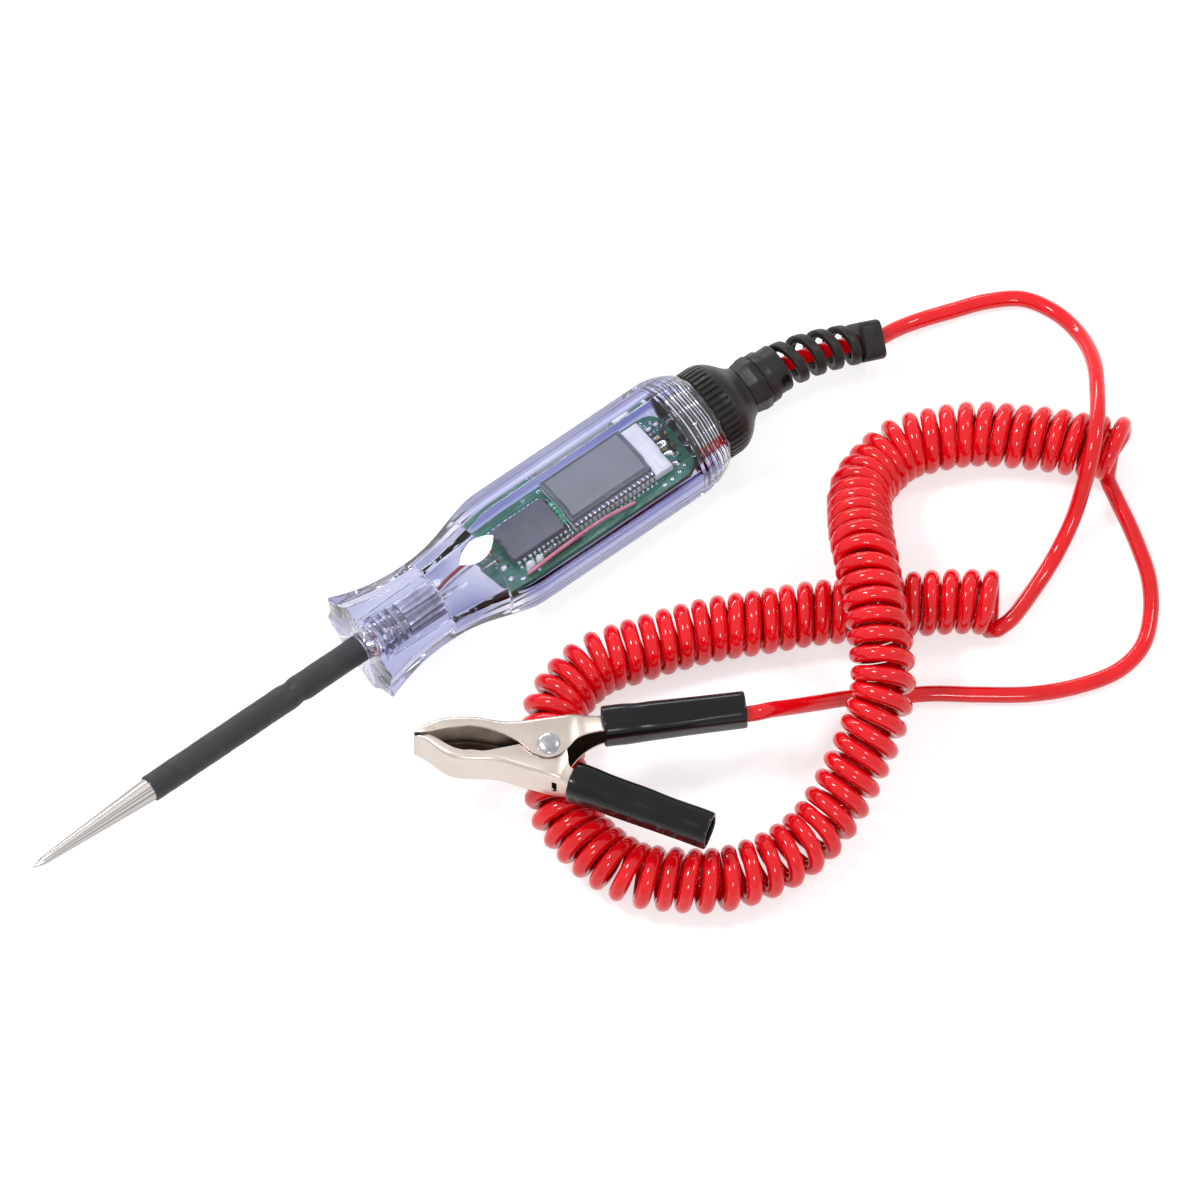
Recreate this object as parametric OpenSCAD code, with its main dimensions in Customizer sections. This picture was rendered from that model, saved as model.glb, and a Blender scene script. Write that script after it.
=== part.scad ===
// Circuit tester: a needle probe in a clear octagonal handle with a liquid-crystal
// board inside, a screw cap with a spiral strain relief, and a curly lead that ends
// in a crocodile clip. The tester lies on one flat of its barrel, the lead on the
// surface beside it, and the clip on top of the lead's curl.
//
// +X runs along the tester from the needle's tip to the lead, and +Z is up. The
// origin is on the surface, under the middle of the needle, handle and cap.
// Lengths are in millimetres.

/* [Needle] */
// Length of the needle in front of the handle
needle_out = 94; // [70:1:130]
// Diameter of the needle's shaft
needle_d = 5.8; // [4:0.1:7]
// Length of the needle's bare cone
cone_len = 33.6; // [20:0.2:50]
// Length of the finely ground point
point_len = 3; // [1.5:0.5:6]
// Diameter where the ground point meets the cone
point_d = 2; // [1:0.1:2.6]
// Wall of the shrunk sleeve on the shaft
sleeve_wall = 0.4; // [0.2:0.05:0.8]
// Diameter of the ringed and splined insert that anchors the needle
insert_d = 10; // [8:0.2:11]
// Depth of that insert in the handle
insert_len = 21; // [16:1:26]
// Thickness of the handle's wall in front of the insert
nose_wall = 2; // [1:0.5:4]

/* [Handle] */
// Length of the clear handle
handle_len = 99; // [94:1:120]
// Width across the flats of the barrel
barrel_flats = 28.6; // [27:0.2:32]
// Width across the flats of the flared nose
nose_flats = 25.8; // [22:0.2:28]
// Width across the flats of the waist
waist_flats = 19.4; // [18.4:0.2:21]
// Width across the flats at the rear edge
rear_flats = 22.8; // [22.4:0.2:25]
// Distance of the waist from the nose
waist_at = 18; // [14:1:22]
// Distance from the nose where the barrel reaches its full width
shoulder_at = 43; // [40:1:46]
// Length of the rounding at the rear of the barrel
rear_round = 9; // [5:1:12]
// Depth by which the eight long edges are rounded off
edge_cut = 0.35; // [0.1:0.05:0.8]
// Depth of the hollow flutes in the nose's flats
flute_depth = 0.9; // [0.2:0.1:1.4]
// Length over which the flutes run out
flute_len = 16; // [8:1:18]

/* [Handle bores] */
// Diameter of the neck chamber at its front
neck_front_d = 14; // [11:0.2:15]
// Diameter of the neck chamber at its rear
neck_rear_d = 18; // [16:0.2:18.8]
// Distance from the nose where the board's cavity starts
cavity_at = 36; // [34:1:38]
// Diameter of the board's cavity
cavity_d = 19.6; // [19:0.1:20]
// Diameter of the threaded bore for the cap
thread_d = 20.4; // [20.2:0.1:20.8]
// Length of the threaded bore
thread_len = 9; // [6:0.5:11]
// Pitch of the thread
thread_pitch = 1.5; // [1:0.25:2]
// Depth of the thread's grooves
thread_depth = 0.5; // [0.2:0.05:0.6]

/* [Board] */
// Room between the board's rear edge and the handle's rear edge
board_rear = 8.8; // [6:0.2:12]
// Thickness of the circuit board
board_t = 1.2; // [0.8:0.1:1.6]
// Height of the handle's axis above the board's middle plane
board_drop = 2; // [1:0.1:3]
// Roll of the board about the handle's axis
board_roll = 20; // [0:1:45]
// Radius of the board's rear corners
board_corner = 5; // [2:0.5:7]
// Gap between the board's front edge and the front of its cavity
board_gap = 0.2; // [0.1:0.1:1]
// Room on the board behind the display glass
glass_rear = 10; // [9:0.5:14]
// Width of the display glass
glass_w = 13; // [10:0.5:13.5]
// Thickness of the display glass
glass_t = 1.6; // [1:0.1:2]
// Thickness of the display's dark film
film_t = 0.3; // [0.2:0.05:0.5]
// Distance from the board's front edge to the display
glass_at = 21; // [20:1:23]
// Distance by which the white backlight slab stands out behind the glass
slab_tail = 4.8; // [2:0.2:6]
// Thickness of the backlight slab
slab_t = 1.6; // [1:0.1:2]
// Length of the controller chip
chip_len = 14; // [10:0.5:15]
// Width of the controller chip
chip_w = 8; // [6:0.5:8.5]
// Height of the controller chip
chip_t = 2; // [1:0.1:2.6]
// Number of pins on each side of the chip
chip_pin_count = 11; // [6:1:14]
// Number of pins along the display
glass_pin_count = 18; // [8:1:20]
// Number of pins in the header beside the chip
header_pin_count = 10; // [4:1:12]
// Diameter of the thin hook-up wires
wire_d = 1.1; // [0.8:0.1:1.4]

/* [Cap] */
// Length of the cap behind the handle
cap_len = 11.5; // [10:0.5:14]
// Diameter over the cap's knurled ring
cap_d = 23.2; // [22.6:0.2:24]
// Length of the knurled ring
knurl_len = 4; // [3:0.5:5]
// Number of grooves round the knurled ring
knurl_count = 44; // [24:2:60]
// Depth of the knurl's grooves
knurl_depth = 0.5; // [0.2:0.05:0.8]
// Diameter of the cap's rear end
cap_end_d = 12.8; // [12.4:0.2:14]
// Wall of the cap's threaded spigot
spigot_wall = 1.5; // [1:0.1:2]
// Thickness of the cap's rear wall
cap_wall = 3; // [2:0.5:4]
// Running clearance between the turning cap and what it turns on
turn_gap = 0.1; // [0.05:0.05:0.1]

/* [Strain relief] */
// Width across the corners of the faceted neck
neck_d = 12.4; // [10:0.2:12.4]
// Length of the faceted neck
neck_len = 4.7; // [3:0.1:7]
// Diameter of the collar behind the neck
collar_d = 13; // [11:0.2:14]
// Length of the collar and the plain band behind it
collar_len = 6; // [4:0.5:8]
// Diameter of the shaft that runs through the cap
shaft_d = 8; // [6:0.2:8.6]
// Diameter of the flange that the cap holds
flange_d = 12; // [11:0.2:12.4]
// Thickness of the flange
flange_t = 2; // [1.5:0.1:3]
// Outside diameter of the spiral where it leaves the band
spiral_d1 = 11.6; // [10:0.2:13]
// Outside diameter of the spiral at its end
spiral_d2 = 9.6; // [9:0.2:11]
// Width of the spiral's ribbon
ribbon_w = 2.6; // [2:0.1:3.2]
// Thickness of the spiral's ribbon
ribbon_t = 1.8; // [1.2:0.1:2.2]
// Number of turns of the spiral
spiral_turns = 4.5; // [3.5:0.5:5.5]
// Diameter of the collar at the spiral's end
end_collar_d = 10; // [9.8:0.2:11]
// Length of that collar
end_collar_len = 5.4; // [4:0.2:7]

/* [Lead] */
// Diameter of the lead
lead_d = 3.8; // [3.4:0.1:4]
// Outside diameter of the lead's curl
curl_d = 15.5; // [15:0.1:15.6]

/* [Clip] */
// Distance from the rivet to the tip of the jaws
jaw_len = 31.2; // [30.8:0.1:33]
// Length of each handle behind its root
clip_handle_len = 34; // [28:1:38]
// Height of the fixed jaw's channel
clip_h = 14.2; // [12:0.2:15]
// Height of the two handles' channels
clip_handle_h = 7; // [6.6:0.2:8.4]
// Width of the two handles' channels
clip_handle_w = 4.2; // [4:0.2:5]
// Thickness of the jaws' sheet metal
sheet_t = 0.8; // [0.6:0.1:1]
// Gap between the fixed jaw and the jaw that moves inside it
jaw_gap = 0.3; // [0.2:0.05:0.4]
// Diameter of the rivet
rivet_d = 3.8; // [3:0.1:4]
// Diameter of the rivet's heads
rivet_head_d = 5.4; // [4.6:0.2:6.4]
// Height of the rivet's heads
rivet_head_h = 0.9; // [0.6:0.1:1.2]
// Running clearance of the moving jaw on the rivet
rivet_gap = 0.05; // [0.02:0.01:0.1]
// Wall of the soft sleeves on the handles
soft_wall = 1; // [0.8:0.1:1.4]
// Diameter of the spring's wire
spring_wire_d = 1.1; // [0.8:0.1:1.3]
// Outside diameter of the spring's coils
spring_d = 7.6; // [7:0.2:8]
// Number of coils in the spring
spring_turns = 4; // [3:1:6]

/* [Hidden] */
$fn = 64;

// Places along the tester
tester_len = needle_out + handle_len + cap_len;
tip_x = -tester_len / 2;
nose_x = tip_x + needle_out;
handle_end_x = nose_x + handle_len;
cap_end_x = handle_end_x + cap_len;
axis_h = barrel_flats / 2;
cut = 1;

// Handle
sides = 8;
half_turn = 180 / sides;
profile_steps = 7;

// Board, in a frame on the handle's axis with its front edge at X = 0
board_x = nose_x + cavity_at + board_gap;
board_len = handle_len - cavity_at - board_gap - board_rear;
board_top = board_t / 2 - board_drop;
board_w = 2 * sqrt(pow(cavity_d / 2, 2) - pow(board_drop + board_t / 2, 2)) - 0.04;
slab_top = board_top + slab_t;
glass_top = slab_top + glass_t;
glass_len = board_len - glass_at - glass_rear;
glass_y = 0.0645 * board_w;
glass_edge = glass_y - glass_w / 2;
chip_gap = 1.5;
chip_at = glass_at - chip_gap - chip_len;
chip_y = 0.054 * board_w;
header_y = -0.355 * board_w;
header_at = glass_at - header_pin_count;
rear_pad = 0.055 * board_len;
front_pad = 0.063 * board_len;
pin_w = 0.5;

// Cap and strain relief
spigot_r = thread_d / 2 - turn_gap;
cap_bore_r = spigot_r - spigot_wall;
cap_floor_x = cap_end_x - cap_wall;
relief_x = cap_end_x + turn_gap;
spiral_x = relief_x + neck_len + collar_len;
lead_r = lead_d / 2;
lead_start_x = cap_floor_x - flange_t - 3;

// Clip, in a frame on the rivet's axis with X towards the tip
rest_gap = 0.1;
clip_pos = [7.8, -51.8, curl_d + rest_gap + rivet_head_h + clip_h / 2];
clip_turn = 143.4;
moving_h = clip_h - 2 * sheet_t - 2 * jaw_gap;
moving_ear_r = 1.1 * rivet_d;
fixed_root = jaw_len * [-0.321, -0.212];
fixed_turn = 187.6;
moving_root = jaw_len * [-0.115, 0.205];
moving_turn = 158.5;
sleeve_start = 2.6;
sleeve_w = clip_handle_w + 0.8 + 2 * soft_wall;
sleeve_h = clip_handle_h + 2 * soft_wall;
crimp_len = 7;
crimp_r = 1.9;
crimp_off = -0.6;
crimp_end = clip_handle_len - 1;

// Route of the lead through the strain relief, then along its straight stretches
relief_route = [
    [lead_start_x, 0, axis_h], [spiral_x - 2, 0, axis_h], [117, -0.5, 13.4],
    [122, -1.2, 12], [127, -2.2, 10.2], [132, -3.4, 8.2], [137.5, -4.8, 6.1]
];
handle_route = [
    [143.4, -4.8, 4.2], [149.4, -5.5, 2.6], [157.5, -7.9, 1.95], [165.7, -10.9, 1.95],
    [172.8, -15.5, 1.95], [176.6, -23.2, 2.4], [176.8, -32, 5], [173.7, -41.2, 10.5],
    [168.2, -49.9, 15.4], [162.8, -56.9, 17.9], [157.3, -62.4, 17.2], [152.2, -66, 12.4],
    [146.5, -69.9, 6.6], [140.4, -73.1, 2.8], [133.6, -76.5, 1.95], [127.3, -79.5, 1.95],
    [122.3, -81.4, 1.95], [119.6, -81.4, 1.95], [117.5, -79.9, 1.95], [116.8, -77.4, 1.95]
];
curl_route = [
    [119, -76.3, 7.75], [111.6, -70.5, 7.75], [103.1, -65.1, 7.75], [92.1, -58.5, 7.75],
    [81.7, -52.4, 7.75], [72.2, -47.8, 7.75], [62.8, -42.9, 7.75], [53, -39.1, 7.75],
    [43.7, -36.1, 7.75], [35, -33.7, 7.75], [28.3, -34.3, 7.75], [20.6, -37.2, 7.75],
    [15.4, -43, 7.75], [10.4, -50.6, 7.75], [6.6, -58, 7.75], [6, -65, 7.75], [7, -73.2, 7.75],
    [10.4, -82, 7.75], [16.9, -88.6, 7.75], [24.4, -94.4, 7.75], [33.4, -97.8, 7.75],
    [42.6, -99, 7.75], [51.6, -98, 8.2], [60.2, -95.1, 10.6], [67.7, -91.6, 13.8],
    [75.1, -87.7, 17], [81.2, -82.7, 20], [85.8, -76.1, 22.4], [89.9, -68.8, 23.7],
    [93.4, -61.8, 23.7], [97, -55.3, 22.9], [101, -48, 19.2], [105.2, -41.8, 15],
    [109.6, -36.4, 11.4], [116, -33, 8.6], [124.3, -31.6, 7.75], [132.4, -34.2, 7.75],
    [140.6, -38.4, 7.75], [147.8, -44.4, 7.75], [154.8, -51, 7.75], [160.9, -57.6, 7.75],
    [165.2, -61.4, 7.75]
];
clip_route = [
    [159.6, -62.6, 3.4], [160.4, -68, 2], [158, -74.7, 1.95], [155.8, -82.6, 1.95],
    [152.9, -90.4, 1.95], [147.8, -97.9, 1.95], [141.2, -103.4, 1.95], [133.2, -105, 1.95],
    [123.4, -102.7, 1.95], [113.4, -97.9, 1.95], [103.4, -90.7, 1.95], [94.4, -83.7, 1.95],
    [86.1, -79, 2.6], [77.9, -75.6, 5], [69.6, -73.8, 10.4], [62.2, -72.6, 16.8],
    [56.2, -71.2, 21.2]
];

// ---------------------------------------------------------------- helpers

// Direction of travel at point i of a route
function heading(route, i) =
    let (last = len(route) - 1)
    let (step = route[min(i + 1, last)] - route[max(i - 1, 0)])
    step / norm(step);

// Sideways and upward unit vectors across a heading
function side_of(dir) = cross(dir, [0, 0, 1]) / norm(cross(dir, [0, 0, 1]));
function up_of(dir) = cross(side_of(dir), dir);

// Ring of points round point i of a route
function ring(route, i, r, count) =
    let (dir = heading(route, i))
    [for (k = [0 : count - 1])
        route[i] + r * (cos(360 * k / count) * side_of(dir) + sin(360 * k / count) * up_of(dir))];

// Skin of a solid made of equal rings joined end to end
function skin(rings, count) = concat(
    [[for (k = [0 : count - 1]) k]],
    [for (i = [0 : rings - 2]) for (k = [0 : count - 1])
        [i * count + k, (i + 1) * count + k,
         (i + 1) * count + (k + 1) % count, i * count + (k + 1) % count]],
    [[for (k = [count - 1 : -1 : 0]) (rings - 1) * count + k]]
);

// Round cord along a route
module cord(route, r, count) {
    points = [for (i = [0 : len(route) - 1]) each ring(route, i, r, count)];
    polyhedron(points, skin(len(route), count), convexity = 10);
}

// Puts a shape drawn along +Z on the handle's axis, starting at x
module on_axis(x) {
    translate([x, 0, axis_h]) rotate([0, 90, 0]) children();
}

// Cylinder or cone on the handle's axis between two places
module axial(x1, x2, r1, r2) {
    on_axis(x1) cylinder(h = x2 - x1, r1 = r1, r2 = r2);
}

// Block given by its low corner and its size
module block(corner, size) {
    translate(corner) cube(size);
}

// Frame of the circuit board
module on_board() {
    translate([board_x, 0, axis_h]) rotate([-board_roll, 0, 0]) children();
}

// Frame of the clip
module on_clip() {
    translate(clip_pos) rotate([0, 0, clip_turn]) children();
}

// Place along a clip handle, s behind its root and w off its middle line
function handle_point(root, turn, s, w) =
    root + s * [cos(turn), sin(turn)] + w * [-sin(turn), cos(turn)];

// The same place in the whole model's frame
function clip_to_world(p) = clip_pos
    + [p[0] * cos(clip_turn) - p[1] * sin(clip_turn),
       p[0] * sin(clip_turn) + p[1] * cos(clip_turn), 0];

lead_end = clip_to_world(handle_point(fixed_root, fixed_turn, crimp_end, crimp_off));
lead_mouth = clip_to_world(handle_point(fixed_root, fixed_turn, clip_handle_len + 4, crimp_off));

// ---------------------------------------------------------------- handle

// Smooth step from 0 to 1
function ease(u) = u * u * (3 - 2 * u);

// Half the width across the flats at distance x from the nose
function half_flats(x) =
    x <= waist_at
        ? (waist_flats + (nose_flats - waist_flats) * pow(1 - x / waist_at, 2)) / 2
    : x <= shoulder_at
        ? (waist_flats + (barrel_flats - waist_flats)
            * ease(pow((x - waist_at) / (shoulder_at - waist_at), 1.3))) / 2
    : x <= handle_len - rear_round
        ? barrel_flats / 2
    : (barrel_flats - (barrel_flats - rear_flats)
        * pow((x - handle_len + rear_round) / rear_round, 2)) / 2;

// Places along the handle where its outline bends
profile_x = concat(
    [for (i = [0 : profile_steps]) waist_at * i / profile_steps],
    [for (i = [1 : profile_steps]) waist_at + (shoulder_at - waist_at) * i / profile_steps],
    [for (i = [0 : profile_steps - 3]) handle_len - rear_round + rear_round * i / (profile_steps - 3)]
);

// Depth of the hollow in the middle of each flat at distance x from the nose
function flute(x) = flute_depth * pow(1 - min(x / flute_len, 1), 2);

// Outline across the handle at distance x: eight flats with bevelled edges between them
function handle_ring(x) =
    let (h = half_flats(x), half_side = h * tan(half_turn) - edge_cut / sin(half_turn))
    [for (k = [0 : sides - 1]) for (share = [-1, -0.45, 0.45, 1])
        let (turn = 2 * half_turn * k, u = share * half_side)
        let (v = abs(share) < 1 ? h - flute(x) : h)
        [x, -(v * cos(turn) - u * sin(turn)), v * sin(turn) + u * cos(turn)]];

module handle_body() {
    points = [for (x = profile_x) each handle_ring(x)];
    polyhedron(points, skin(len(profile_x), 4 * sides), convexity = 10);
}

module thread_grooves() {
    r = thread_d / 2;
    for (i = [0 : floor(thread_len / thread_pitch) - 1])
        on_axis(handle_end_x - thread_len + thread_pitch * (i + 0.25))
            rotate_extrude()
                polygon([[r - cut, 0], [r, 0], [r + thread_depth, thread_pitch * 0.25],
                         [r, thread_pitch * 0.5], [r - cut, thread_pitch * 0.5]]);
}

module handle_shell() {
    color([0.78, 0.8, 0.96, 0.45])
        difference() {
            translate([nose_x, 0, axis_h]) handle_body();
            axial(nose_x - cut, nose_x + nose_wall + cut, needle_d / 2, needle_d / 2);
            axial(nose_x + nose_wall, nose_x + insert_len, insert_d / 2, insert_d / 2);
            axial(nose_x + insert_len, nose_x + cavity_at, neck_front_d / 2, neck_rear_d / 2);
            axial(nose_x + cavity_at, handle_end_x, cavity_d / 2, cavity_d / 2);
            axial(handle_end_x - thread_len, handle_end_x + cut, thread_d / 2, thread_d / 2);
            thread_grooves();
        }
}

// ---------------------------------------------------------------- needle

module probe_needle() {
    r = needle_d / 2;
    ring_r = insert_d / 2;
    ring_w = 1.2;
    spline_x = nose_x + nose_wall + 9;
    spline_len = insert_len - nose_wall - 9;
    spline_count = 20;
    color([0.8, 0.8, 0.82]) {
        axial(tip_x, tip_x + point_len, 0.12, point_d / 2);
        axial(tip_x + point_len, tip_x + cone_len, point_d / 2, r);
        axial(tip_x + cone_len, nose_x + insert_len, r, r);
        for (i = [0 : 3])
            axial(nose_x + nose_wall + 2.1 * i, nose_x + nose_wall + 2.1 * i + ring_w, ring_r, ring_r);
        on_axis(spline_x)
            linear_extrude(height = spline_len)
                polygon([for (i = [0 : 2 * spline_count - 1])
                    let (rr = ring_r - 0.5 * (i % 2))
                    rr * [cos(180 * i / spline_count), sin(180 * i / spline_count)]]);
    }
}

module probe_sleeve() {
    color([0.2, 0.2, 0.21])
        difference() {
            axial(tip_x + cone_len, nose_x, needle_d / 2 + sleeve_wall, needle_d / 2 + sleeve_wall);
            axial(tip_x + cone_len - cut, nose_x + cut, needle_d / 2, needle_d / 2);
        }
}

// Wire from the end of the needle's insert to the front of the board
module probe_wire() {
    route = [
        [nose_x + insert_len, 0, axis_h], [nose_x + insert_len + 1.5, 0, axis_h],
        [nose_x + insert_len + 5, 1, axis_h + 1],
        [nose_x + cavity_at - 4, 1.6, axis_h + 2], [board_x + 1.5, 1.4, axis_h + 2],
        [board_x + 3.4, 0.4, axis_h - 0.6]
    ];
    color([0.62, 0.1, 0.1]) cord(route, wire_d / 2, 8);
}

// ---------------------------------------------------------------- board

module circuit_board() {
    color([0.13, 0.45, 0.36])
        on_board()
            translate([0, 0, -board_drop - board_t / 2])
                linear_extrude(height = board_t)
                    union() {
                        translate([0, -board_w / 2]) square([board_len - board_corner, board_w]);
                        translate([0, board_corner - board_w / 2])
                            square([board_len, board_w - 2 * board_corner]);
                        for (s = [-1, 1])
                            translate([board_len - board_corner, s * (board_w / 2 - board_corner)])
                                circle(r = board_corner);
                    }
}

module backlight_slab() {
    color([0.9, 0.9, 0.92])
        on_board()
            block([glass_at, glass_edge, board_top], [glass_len + slab_tail, glass_w, slab_t]);
}

module lcd_glass() {
    color([0.72, 0.75, 0.8])
        on_board()
            block([glass_at, glass_edge, slab_top], [glass_len, glass_w, glass_t]);
}

module lcd_film() {
    margin = 0.6;
    color([0.5, 0.52, 0.56])
        on_board()
            block([glass_at + margin, glass_edge + 1.6, glass_top],
                  [glass_len - 2 * margin, glass_w - 1.6 - margin, film_t]);
}

// Pins that grip the near edge of the display glass and stand on the board
module lcd_pins() {
    pitch = (glass_len - 1.4) / (glass_pin_count - 1);
    color([0.78, 0.78, 0.8])
        on_board()
            for (i = [0 : glass_pin_count - 1])
                translate([glass_at + 0.7 + pitch * i - pin_w / 2, 0, 0]) {
                    block([0, glass_edge - 0.5, board_top], [pin_w, 0.5, slab_t + glass_t]);
                    block([0, glass_edge - 1.5, board_top], [pin_w, 1, 0.4]);
                    block([0, glass_edge - 0.5, glass_top], [pin_w, 1.4, 0.25]);
                }
}

module controller_chip() {
    color([0.24, 0.25, 0.29])
        on_board()
            block([chip_at, chip_y - chip_w / 2, board_top], [chip_len, chip_w, chip_t]);
}

module chip_pins() {
    pitch = (chip_len - 1.6) / (chip_pin_count - 1);
    foot = 1;
    color([0.85, 0.85, 0.87])
        on_board()
            for (i = [0 : chip_pin_count - 1], s = [-1, 1])
                block([chip_at + 0.8 + pitch * i - pin_w / 2,
                       chip_y + s * (chip_w + foot) / 2 - foot / 2, board_top],
                      [pin_w, foot, 0.6]);
}

// Resistor that lies across the board between the chip and the display
module board_resistor() {
    body_r = 0.75;
    body_len = 3.6;
    lead_len = 7.6;
    color([0.45, 0.78, 0.6])
        on_board()
            translate([glass_at - chip_gap / 2, chip_y, board_top + body_r])
                rotate([90, 0, 0]) {
                    cylinder(h = body_len, r = body_r, center = true);
                    cylinder(h = lead_len, r = 0.25, center = true);
                }
}

module indicator_leds() {
    led_r = 1.05;
    pitch = 2.4;
    color([0.95, 0.95, 0.93])
        on_board()
            for (i = [0, 1])
                translate([header_at - pitch * (i + 0.5), header_y + 0.2, board_top]) {
                    cylinder(h = 1.4, r = led_r);
                    translate([0, 0, 1.4]) sphere(r = led_r);
                }
}

module header_block() {
    color([0.12, 0.12, 0.13])
        on_board()
            block([header_at, header_y - 0.9, board_top], [header_pin_count, 1.8, 1.4]);
}

module header_pins() {
    color([0.82, 0.82, 0.84])
        on_board()
            for (i = [0 : header_pin_count - 1])
                block([header_at + 0.5 + i - pin_w / 2, header_y - pin_w / 2, board_top + 1.4],
                      [pin_w, pin_w, 1.1]);
}

// Small capacitors and resistors behind the display
module surface_parts() {
    part_size = [1.6, 0.9, 0.7];
    color([0.72, 0.5, 0.32])
        on_board()
            for (i = [0 : 1], j = [0 : 2])
                block([glass_at + glass_len + slab_tail + 0.5 + 2 * i, 1.2 + 1.6 * j, board_top],
                      part_size);
}

module solder_joints() {
    spots = [
        [front_pad, -0.065], [front_pad * 0.6, 0.28], [front_pad * 0.76, -0.3],
        [board_len - rear_pad, 0], [board_len - 1.25 * rear_pad, -0.215]
    ];
    color([0.85, 0.86, 0.88])
        on_board()
            for (s = spots)
                translate([s[0], s[1] * board_w, board_top])
                    cylinder(h = wire_d * 0.55, r1 = wire_d * 0.9, r2 = wire_d * 0.4);
}

// Wire along the near edge of the board
module bridge_wire() {
    y = header_y - 0.08 * board_w;
    z = board_top + wire_d / 2;
    bends = [[0.111, 0.35, 0], [0.185, 0, 0.7], [0.333, -0.1, 1.3], [0.519, 0, 1.3], [0.667, 0.3, 0]];
    route = [for (b = bends) [b[0] * board_len, y + b[1] * wire_d, z + b[2] * wire_d]];
    color([0.85, 0.35, 0.4]) on_board() cord(route, wire_d / 2 - 0.1, 8);
}

// Wire from the rear of the board towards the lead's end
module lead_wire() {
    first_x = board_x + board_len - rear_pad;
    span = lead_start_x - first_x;
    bends = [[0, 0.55, -0.73], [0.09, 1.27, 1.64], [0.33, 1.64, 2.55], [0.71, 0.55, 0.9], [0.975, 0, 0]];
    route = [for (b = bends) [first_x + b[0] * span, b[1] * wire_d, axis_h + b[2] * wire_d]];
    color([0.16, 0.15, 0.16]) cord(route, wire_d / 2, 8);
}

// ---------------------------------------------------------------- cap and strain relief

// Radius of the cap's dome at distance s behind its knurled ring
function dome_r(s) =
    let (span = cap_len - knurl_len)
    (cap_d / 2 - knurl_depth) - (cap_d / 2 - knurl_depth - cap_end_d / 2) * pow(s / span, 1.15);

module end_cap() {
    ring_x = handle_end_x + turn_gap;
    dome_steps = 6;
    dome_len = cap_end_x - handle_end_x - knurl_len;
    color([0.16, 0.155, 0.15])
        difference() {
            union() {
                axial(handle_end_x - thread_len + 0.5, ring_x + cut, spigot_r, spigot_r);
                on_axis(ring_x)
                    linear_extrude(height = knurl_len - turn_gap)
                        polygon([for (i = [0 : 2 * knurl_count - 1])
                            let (r = cap_d / 2 - knurl_depth * (i % 2))
                            r * [cos(180 * i / knurl_count), sin(180 * i / knurl_count)]]);
                on_axis(handle_end_x + knurl_len)
                    rotate_extrude()
                        polygon(concat(
                            [[0, 0]],
                            [for (i = [0 : dome_steps])
                                [dome_r(dome_len * i / dome_steps), dome_len * i / dome_steps]],
                            [[0, dome_len]]));
            }
            axial(handle_end_x - thread_len, handle_end_x + knurl_len, cap_bore_r, cap_bore_r);
            axial(handle_end_x + knurl_len, cap_floor_x, cap_bore_r, flange_d / 2 + turn_gap);
            axial(cap_floor_x - cut, cap_end_x + cut, shaft_d / 2 + turn_gap, shaft_d / 2 + turn_gap);
        }
}

// Middle line of the strain relief's spiral, u from 0 at its root to 1 at its end
function relief_at(u) =
    let (first = 1, last = len(relief_route) - 1)
    let (s = first + u * (last - first), i = min(floor(s), last - 1), f = s - i)
    relief_route[i] * (1 - f) + relief_route[i + 1] * f;

function relief_heading(u) =
    let (step = relief_at(min(u + 0.1, 1)) - relief_at(max(u - 0.1, 0)))
    step / norm(step);

// Cross-section of the spiral's ribbon at u
function ribbon_section(u, share) =
    let (dir = relief_heading(share), turn = 360 * spiral_turns * u)
    let (out = cos(turn) * side_of(dir) - sin(turn) * up_of(dir))
    let (r = (spiral_d1 + (spiral_d2 - spiral_d1) * u) / 2)
    [for (c = [[0, 1], [0, -1], [-1, -1], [-1, 1]])
        relief_at(share) + (r + c[0] * ribbon_t) * out + c[1] * ribbon_w / 2 * dir];

module relief_spiral() {
    steps = 72;
    first = 0.08;
    last = 0.88;
    points = [for (i = [0 : steps]) each ribbon_section(i / steps, first + (last - first) * i / steps)];
    polyhedron(points, skin(steps + 1, 4), convexity = 10);
}

module relief_end_collar() {
    dir = relief_heading(1);
    place = relief_route[len(relief_route) - 1];
    translate(place)
        rotate([0, acos(dir[2]), atan2(dir[1], dir[0])])
            translate([0, 0, -end_collar_len])
                difference() {
                    cylinder(h = end_collar_len, d = end_collar_d);
                    translate([0, 0, -cut])
                        cylinder(h = end_collar_len + 2 * cut, d = lead_d + 0.8);
                }
}

module relief_root() {
    band_x = relief_x + neck_len + collar_len / 2;
    difference() {
        union() {
            axial(cap_floor_x - flange_t - turn_gap, cap_floor_x - turn_gap, flange_d / 2, flange_d / 2);
            axial(cap_floor_x - turn_gap - cut, relief_x + cut, shaft_d / 2, shaft_d / 2);
            on_axis(relief_x)
                rotate([0, 0, half_turn]) cylinder(h = neck_len, d = neck_d, $fn = sides);
            axial(relief_x + neck_len, band_x, collar_d / 2, collar_d / 2);
            axial(band_x, spiral_x, spiral_d1 / 2, spiral_d1 / 2);
        }
        axial(lead_start_x - cut, relief_x + cut, lead_r, lead_r);
        axial(relief_x, spiral_x + cut, lead_r, lead_r + 0.4);
    }
}

module strain_relief() {
    color([0.17, 0.165, 0.16]) {
        relief_root();
        relief_spiral();
        relief_end_collar();
    }
}

// Crimped ring that keeps the lead from being pulled out through the flange
module cable_stop() {
    stop_len = 2.6;
    color([0.25, 0.24, 0.23])
        difference() {
            axial(cap_floor_x - flange_t - turn_gap - stop_len, cap_floor_x - flange_t - turn_gap,
                  lead_r + 1.6, lead_r + 1.6);
            axial(lead_start_x - cut, cap_floor_x, lead_r, lead_r);
        }
}

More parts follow.
